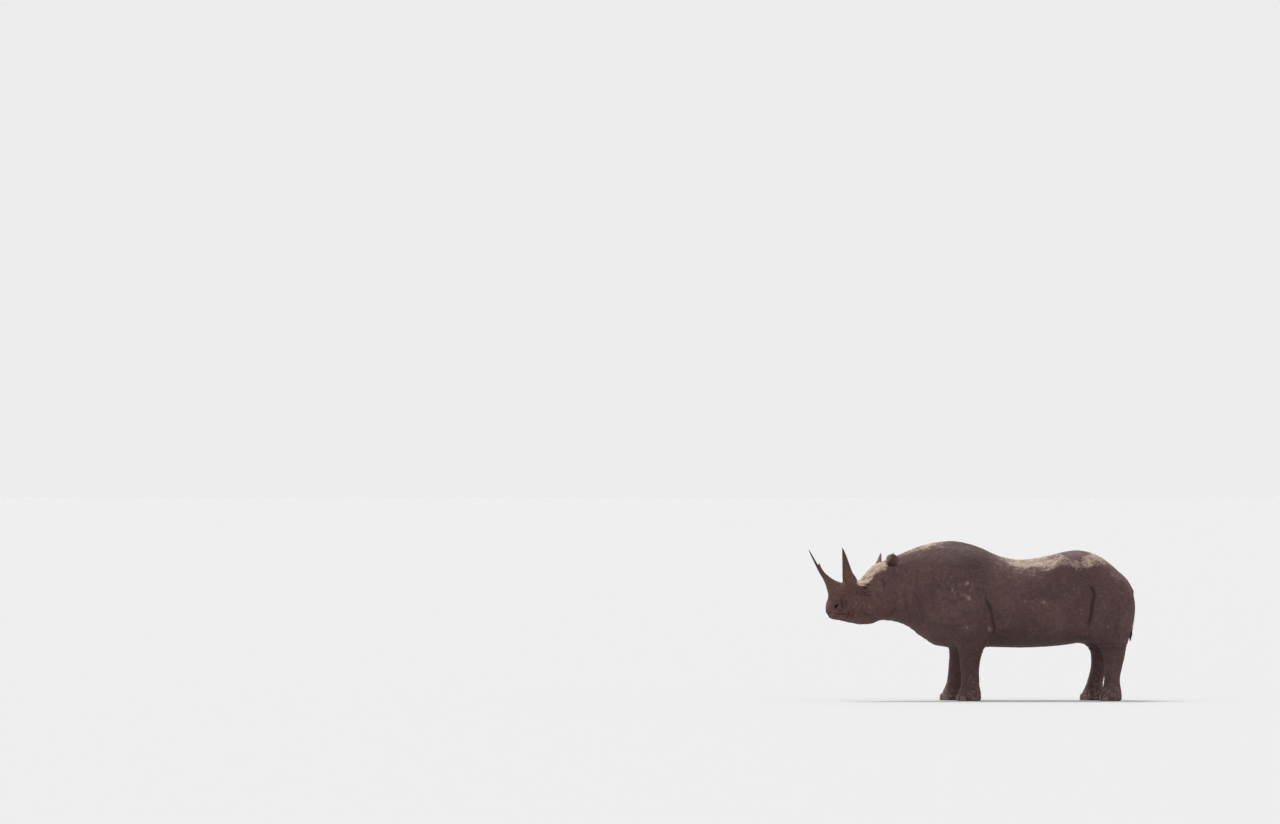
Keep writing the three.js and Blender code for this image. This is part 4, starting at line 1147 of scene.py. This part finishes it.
class Paint:
    """A material's nodes, with one short call for each kind."""

    def __init__(self, name, roughness, specular=0.5):
        self.material = bpy.data.materials.new(name)
        self.material.use_nodes = True
        self.tree = self.material.node_tree
        self.shader = self.tree.nodes["Principled BSDF"]
        self.shader.inputs["Roughness"].default_value = roughness
        self.shader.inputs["Specular IOR Level"].default_value = specular
        self.places = self.node("ShaderNodeTexCoord").outputs["Object"]

    def node(self, kind, inputs=(), **settings):
        made = self.tree.nodes.new(kind)
        for key, value in settings.items():
            setattr(made, key, value)
        for key, value in dict(inputs).items():
            self.put(made.inputs[key], value)
        return made

    def put(self, socket, value):
        if isinstance(value, bpy.types.NodeSocket):
            self.tree.links.new(value, socket)
        else:
            socket.default_value = value

    def attribute(self, name):
        return self.node("ShaderNodeAttribute", attribute_name=name).outputs["Fac"]

    def math(self, operation, a, b=0.0, clamp=False):
        settings = dict(operation=operation, use_clamp=clamp)
        return self.node("ShaderNodeMath", {0: a, 1: b}, **settings).outputs[0]

    def times(self, a, b):
        return self.math("MULTIPLY", a, b)

    def less(self, a, b, clamp=False):
        return self.math("SUBTRACT", a, b, clamp)

    def vector(self, operation, a, b):
        return self.node("ShaderNodeVectorMath", {0: a, 1: b}, operation=operation).outputs[0]

    def ramp(self, value, low, high, start=0.0, end=1.0):
        inputs = {"Value": value, "From Min": low, "From Max": high, "To Min": start, "To Max": end}
        return self.node("ShaderNodeMapRange", inputs, interpolation_type="SMOOTHSTEP").outputs[0]

    def mix(self, factor, a, b, mode="MIX"):
        inputs = {0: factor, 6: colour(a), 7: colour(b)}
        settings = dict(data_type="RGBA", blend_type=mode, clamp_factor=True)
        return self.node("ShaderNodeMix", inputs, **settings).outputs[2]

    def over(self, base, *layers):
        """A colour under layers of (how much there is, its colour)."""
        for share, layer in layers:
            base = self.mix(share, base, layer)
        return base

    def noise(self, places, scale, detail=3.0, roughness=0.55):
        inputs = {"Vector": places, "Scale": scale, "Detail": detail, "Roughness": roughness}
        return self.node("ShaderNodeTexNoise", inputs).outputs["Fac"]

    def cracks(self, places, scale):
        """0 in the cracks between the cells of a pattern, 1 inside them."""
        inputs = {"Vector": places, "Scale": scale}
        found = self.node("ShaderNodeTexVoronoi", inputs, feature="DISTANCE_TO_EDGE")
        return self.ramp(found.outputs["Distance"], 0.0, 0.16)

    def cells(self, places, scale):
        """One grey value for each cell of the same pattern."""
        found = self.node("ShaderNodeTexVoronoi", {"Vector": places, "Scale": scale}, feature="F1")
        return self.node("ShaderNodeSeparateColor", {0: found.outputs["Color"]}).outputs[0]

    def stretched(self, places, scale):
        return self.vector("MULTIPLY", places, scale)

    def stirred(self, places, scale, by):
        """Places moved about by noise, so that patterns on them aren't regular."""
        noise = self.node("ShaderNodeTexNoise", {"Vector": places, "Scale": scale, "Detail": 2.0})
        centred = self.vector("SUBTRACT", noise.outputs["Color"], (0.5,) * 3)
        return self.vector("ADD", places, self.stretched(centred, (by,) * 3))

    def total(self, *parts):
        """The sum of (value, weight) pairs."""
        found = 0.0
        for value, weight in parts:
            product = self.times(value, weight)
            found = product if found == 0.0 else self.math("ADD", found, product)
        return found

    def finish(self, base, roughness=None, height=None):
        """Sets the colour and roughness, and a bump from a height in metres."""
        self.put(self.shader.inputs["Base Color"], base)
        if roughness is not None:
            self.put(self.shader.inputs["Roughness"], roughness)
        if height is not None:
            inputs = {"Height": height, "Distance": 1.0, "Strength": 1.0}
            bumped = self.node("ShaderNodeBump", inputs).outputs[0]
            self.put(self.shader.inputs["Normal"], bumped)
        return self.material


def colour(value):
    """A colour with its alpha; anything else stays as it is."""
    return (*value, 1.0) if isinstance(value, tuple) and len(value) == 3 else value


# Linear colours.
SKIN_GREY, SKIN_BROWN = (0.097, 0.0475, 0.0495), (0.121, 0.066, 0.063)
SKIN_DEEP, HEAD_TINT = (0.072, 0.036, 0.036), (1.06, 0.94, 0.82)
# The dark of the cracks, also used as painted shade in the folds; and the painted shade in hollows.
CRACK_AND_SHADE, HOLLOW_SHADE = (0.038, 0.022, 0.021), (0.016, 0.010, 0.009)
# The pale colour of dust, also used as painted sunlight on the top of the head, the neck and the back.
DUST_AND_SUNLIT, SORE, PINK = (0.57, 0.435, 0.342), (0.30, 0.205, 0.185), (0.26, 0.135, 0.11)
HORN_SCURF = (0.150, 0.088, 0.064)
HORN_BASE, HORN_TIP = (0.140, 0.066, 0.050), (0.086, 0.042, 0.035)
HORN_GROOVE, HORN_FIBRE = (0.052, 0.030, 0.025), (0.172, 0.094, 0.069)
HORN_BAND, HORN_SCUFF = (0.046, 0.028, 0.024), (0.21, 0.145, 0.118)
NAIL_EDGE, NAIL_TOP = (0.165, 0.122, 0.096), (0.098, 0.068, 0.056)
NAIL_GROOVE, NAIL_LINE = (0.075, 0.056, 0.048), (0.22, 0.17, 0.135)
EYE_WHITE, EYE_MUD = (0.15, 0.095, 0.075), (0.07, 0.040, 0.033)
IRIS_DARK, IRIS_BROWN, PUPIL = (0.018, 0.009, 0.005), (0.050, 0.025, 0.012), (0.004, 0.003, 0.003)
HAIR_DARK, HAIR_BROWN, HAIR_WORN = (0.012, 0.009, 0.008), (0.045, 0.031, 0.024), (0.085, 0.062, 0.048)


def skin_material():
    """Cracked hide: plates between creases, dust and painted sunlight on top, painted shade in folds and
    hollows, sores, and pink on the lips.
    """
    paint = Paint("rhino_hide", roughness=0.82, specular=0.35)
    on_head, on_legs = paint.attribute("on_head"), paint.attribute("on_legs")
    fold_and_hump_shade, dust_and_sunlight = paint.attribute("fold_and_hump_shade"), paint.attribute("dust_and_sunlight")
    places = paint.stirred(paint.places, 22, 0.030)
    places = paint.stirred(places, 90, 0.010)
    plate_places = paint.stretched(places, (1.25, 1.25, 0.8))
    plates = paint.cracks(plate_places, 52)
    plate_tone = paint.cells(plate_places, 52)
    small_plates = paint.cracks(places, 125)
    uneven = paint.ramp(paint.noise(paint.places, 5, 3), 0.35, 0.62, 0.35, 1.0)
    plate_share = paint.times(uneven, paint.ramp(on_head, 0, 1, 1.0, 0.35))
    large_folds = paint.noise(paint.places, 9, 5)
    upright = paint.noise(paint.stretched(places, (1, 1, 0.2)), 48, 4)
    level = paint.noise(paint.stretched(places, (0.3, 0.3, 1.5)), 60, 4)
    upright = paint.math("ABSOLUTE", paint.less(upright, 0.5))
    level = paint.math("ABSOLUTE", paint.less(level, 0.5))
    grain = paint.noise(paint.places, 520, 3, 0.6)
    on_trunk = paint.less(paint.less(1.0, on_legs), on_head, clamp=True)
    wrinkles = paint.total((paint.times(upright, on_trunk), 1.0), (paint.times(level, on_legs), 1.4))
    height = paint.total(
        (large_folds, 0.0045),
        (paint.times(plates, plate_share), 0.0014),
        (small_plates, 0.0007),
        (wrinkles, 0.0075),
        (grain, 0.00035),
    )

    patches = paint.ramp(paint.noise(paint.places, 2.3, 4), 0.38, 0.64)
    mottle = paint.ramp(paint.noise(places, 17, 5, 0.65), 0.42, 0.72)
    base = paint.mix(patches, SKIN_GREY, SKIN_BROWN)
    base = paint.mix(paint.times(mottle, 0.55), base, SKIN_DEEP)
    base = paint.mix(on_head, base, HEAD_TINT, "MULTIPLY")
    tone = paint.ramp(plate_tone, 0.0, 1.0, 0.90, 1.10)
    tone_colour = paint.node("ShaderNodeCombineColor", {0: tone, 1: tone, 2: tone}).outputs[0]
    base = paint.mix(1.0, base, tone_colour, "MULTIPLY")
    speckle = paint.ramp(paint.noise(places, 34, 5, 0.7), 0.42, 0.62)
    cloud = paint.ramp(paint.noise(paint.places, 6, 4), 0.30, 0.62)
    gaps = paint.times(paint.less(1.0, plates), plate_share)
    faded = paint.ramp(paint.noise(paint.places, 41, 3), 0.35, 0.60, 0.15, 1.0)
    small_gaps = paint.times(paint.less(1.0, small_plates), faded)
    # Dust and painted sunlight, speckled and in clouds.
    dust_and_sunlight_amount = paint.total((speckle, 0.55), (cloud, 0.55), (dust_and_sunlight, 1.22))
    scattered = paint.less(dust_and_sunlight_amount, 0.95, clamp=True)
    uncracked = paint.less(1.0, paint.total((gaps, 0.42), (small_gaps, 0.15)), clamp=True)
    cracks_and_shade = paint.total((gaps, 0.26), (small_gaps, 0.15), (fold_and_hump_shade, 0.70))
    scurf_share, pink_share = paint.ramp(mottle, 0, 1, 0.15, 0.65), paint.ramp(mottle, 0, 1, 1.0, 0.5)
    sore_share = paint.ramp(speckle, 0, 1, 0.65, 1.0)
    dark = paint.attribute("dark")
    base = paint.over(
        base,
        # Dust, and painted sunlight, on the plates.
        (paint.times(scattered, uncracked), DUST_AND_SUNLIT),
        # The real dark cracks between the plates, and painted shade in the folds and on the top of the
        # hump.
        (cracks_and_shade, CRACK_AND_SHADE),
        (paint.times(paint.attribute("collar"), scurf_share), HORN_SCURF),
        (paint.times(paint.attribute("pink"), pink_share), PINK),
        (paint.times(paint.attribute("sore"), sore_share), SORE),
        # Painted shade in the hollows of the lids, the nostrils and the ear stalks.
        (paint.times(dark, 0.92), HOLLOW_SHADE),
    )
    dry = paint.ramp(paint.noise(places, 30, 3), 0.3, 0.7, 0.70, 0.90)
    return paint.finish(base, paint.less(dry, paint.times(dark, 0.3)), height)


def horn_material():
    """Matted fibre: streaks along the horn, dark bands across it, and pale scuffs."""
    paint = Paint("horn_fibre", roughness=0.6, specular=0.28)
    along = paint.attribute("along")
    inputs = {0: paint.attribute("round_x"), 1: paint.attribute("round_y")}
    inputs[2] = paint.times(along, 0.10)
    round_horn = paint.node("ShaderNodeCombineXYZ", inputs).outputs[0]
    fibres = paint.noise(round_horn, 34, 6, 0.7)
    bands = paint.noise(paint.node("ShaderNodeCombineXYZ", {2: along}).outputs[0], 16, 3)
    scuffs = paint.noise(paint.places, 70, 4)
    base = paint.over(
        paint.mix(paint.ramp(along, 0.05, 0.75), HORN_BASE, HORN_TIP),
        (paint.ramp(fibres, 0.42, 0.68), HORN_GROOVE),
        (paint.ramp(fibres, 0.30, 0.46, 0.55, 0.0), HORN_FIBRE),
        (paint.ramp(bands, 0.45, 0.7, 0.0, 0.35), HORN_BAND),
        (paint.ramp(scuffs, 0.56, 0.74, 0.0, 0.35), HORN_SCUFF),
    )
    grain = paint.noise(paint.places, 420, 2)
    height = paint.total((fibres, 0.0022), (scuffs, 0.0006), (grain, 0.0002))
    return paint.finish(base, paint.ramp(fibres, 0.3, 0.7, 0.48, 0.72), height)


def nail_material():
    """Worn horn: growth lines, upright fibres, and paler towards its edge."""
    paint = Paint("nail_horn", roughness=0.6)
    fibres = paint.noise(paint.stretched(paint.places, (1, 1, 0.12)), 260, 4)
    lines = paint.noise(paint.stretched(paint.places, (0.1, 0.1, 1)), 170, 3)
    base = paint.over(
        paint.mix(paint.ramp(paint.attribute("along"), 0.15, 0.9), NAIL_EDGE, NAIL_TOP),
        (paint.ramp(fibres, 0.42, 0.7, 0.0, 0.7), NAIL_GROOVE),
        (paint.ramp(lines, 0.5, 0.7, 0.0, 0.4), NAIL_LINE),
    )
    height = paint.total((fibres, 0.0005), (lines, 0.0007))
    return paint.finish(base, paint.ramp(lines, 0.3, 0.7, 0.45, 0.7), height)


def eye_material():
    """A wet, dark brown eye with a round pupil and a muddy white."""
    paint = Paint("eye_wet", roughness=0.06, specular=0.10)
    streaks = paint.ramp(paint.noise(paint.places, 900, 4, 0.7), 0.38, 0.64)
    muddy = paint.ramp(paint.noise(paint.places, 260, 4), 0.4, 0.65)
    base = paint.over(
        paint.mix(muddy, EYE_WHITE, EYE_MUD),
        (paint.attribute("iris"), paint.mix(streaks, IRIS_DARK, IRIS_BROWN)),
        (paint.attribute("pupil"), PUPIL),
    )
    return paint.finish(base)


def bristle_material():
    """Coarse dark hair, each one a little different."""
    paint = Paint("bristle_hair", roughness=0.42)
    shade = paint.attribute("shade")
    worn = paint.ramp(paint.noise(paint.places, 700, 2), 0.5, 0.75, 0.0, 0.4)
    base = paint.over(paint.mix(shade, HAIR_DARK, HAIR_BROWN), (worn, HAIR_WORN))
    return paint.finish(base, paint.ramp(shade, 0, 1, 0.35, 0.55))


def floor_material():
    """Pale, smooth studio floor with hardly any mottle."""
    paint = Paint("studio_floor", roughness=0.9, specular=0.1)
    return paint.finish(paint.mix(paint.noise(paint.places, 3, 4), FLOOR_DARK, FLOOR_LIGHT))


def wear(pieces, material):
    """Gives pieces their only material."""
    for piece in pieces:
        piece.data.materials.clear()
        piece.data.materials.append(material)


SKY = 0.84  # the world's brightness, which the floor is lit to match
SUN_ENERGY = 3.1
SUN_FROM = unit(np.array([-0.35, 0.62, 1.10]))
SUN_ANGLE = math.radians(24)
SUN_COLOUR = (1.0, 0.965, 0.92)
# The floor's colour is the one that looks as bright as the world under both of the lights.
FLOOR_COLOUR = [SKY / (SKY + SUN_ENERGY * SUN_FROM[2] * part / math.pi) for part in SUN_COLOUR]
FLOOR_DARK, FLOOR_LIGHT = (tuple(share * part for part in FLOOR_COLOUR) for share in (0.985, 1.015))
FLOOR_RADIUS = 4000.0

wear([skin], skin_material())
wear(horns, horn_material())
wear(nails, nail_material())
wear(eyes, eye_material())
wear([*fringes, bristles, *lashes], bristle_material())

# ---------------------------------------------------------------- the studio


def make_floor():
    turns = np.linspace(0, 2 * math.pi, 128, endpoint=False)
    rim = np.stack([np.cos(turns), np.sin(turns), 0 * turns], 1) * FLOOR_RADIUS
    floor = placed("floor", mesh_from(rim, [list(range(len(rim)))]))
    wear([floor], floor_material())


def make_sun():
    light = bpy.data.lights.new("sun", "SUN")
    light.energy = SUN_ENERGY
    light.angle = SUN_ANGLE
    light.color = SUN_COLOUR
    placed("sun", light).rotation_euler = Vector(SUN_FROM).to_track_quat("Z", "Y").to_euler()


def make_world():
    world = bpy.data.worlds.new("studio")
    world.use_nodes = True
    world.node_tree.nodes["Background"].inputs["Color"].default_value = (SKY, SKY, SKY, 1)
    bpy.context.scene.world = world


CAMERA_PLACE = Vector((0.0, -138.0, 2.04))
CAMERA_TARGET = Vector((-3.224, 0.0, 2.798))
FOCAL_LENGTH, SENSOR_WIDTH = 400, 36  # in millimetres


def make_camera():
    """The photograph's view: from far off, a little above the animal's back."""
    lens = bpy.data.cameras.new("camera")
    lens.lens = FOCAL_LENGTH
    lens.sensor_width = SENSOR_WIDTH
    lens.clip_end = 5 * FLOOR_RADIUS
    camera = placed("camera", lens)
    camera.location = CAMERA_PLACE
    camera.rotation_euler = (CAMERA_TARGET - CAMERA_PLACE).to_track_quat("-Z", "Y").to_euler()
    bpy.context.scene.camera = camera


make_floor()
make_sun()
make_world()
make_camera()
bpy.context.scene.view_settings.view_transform = "Standard"
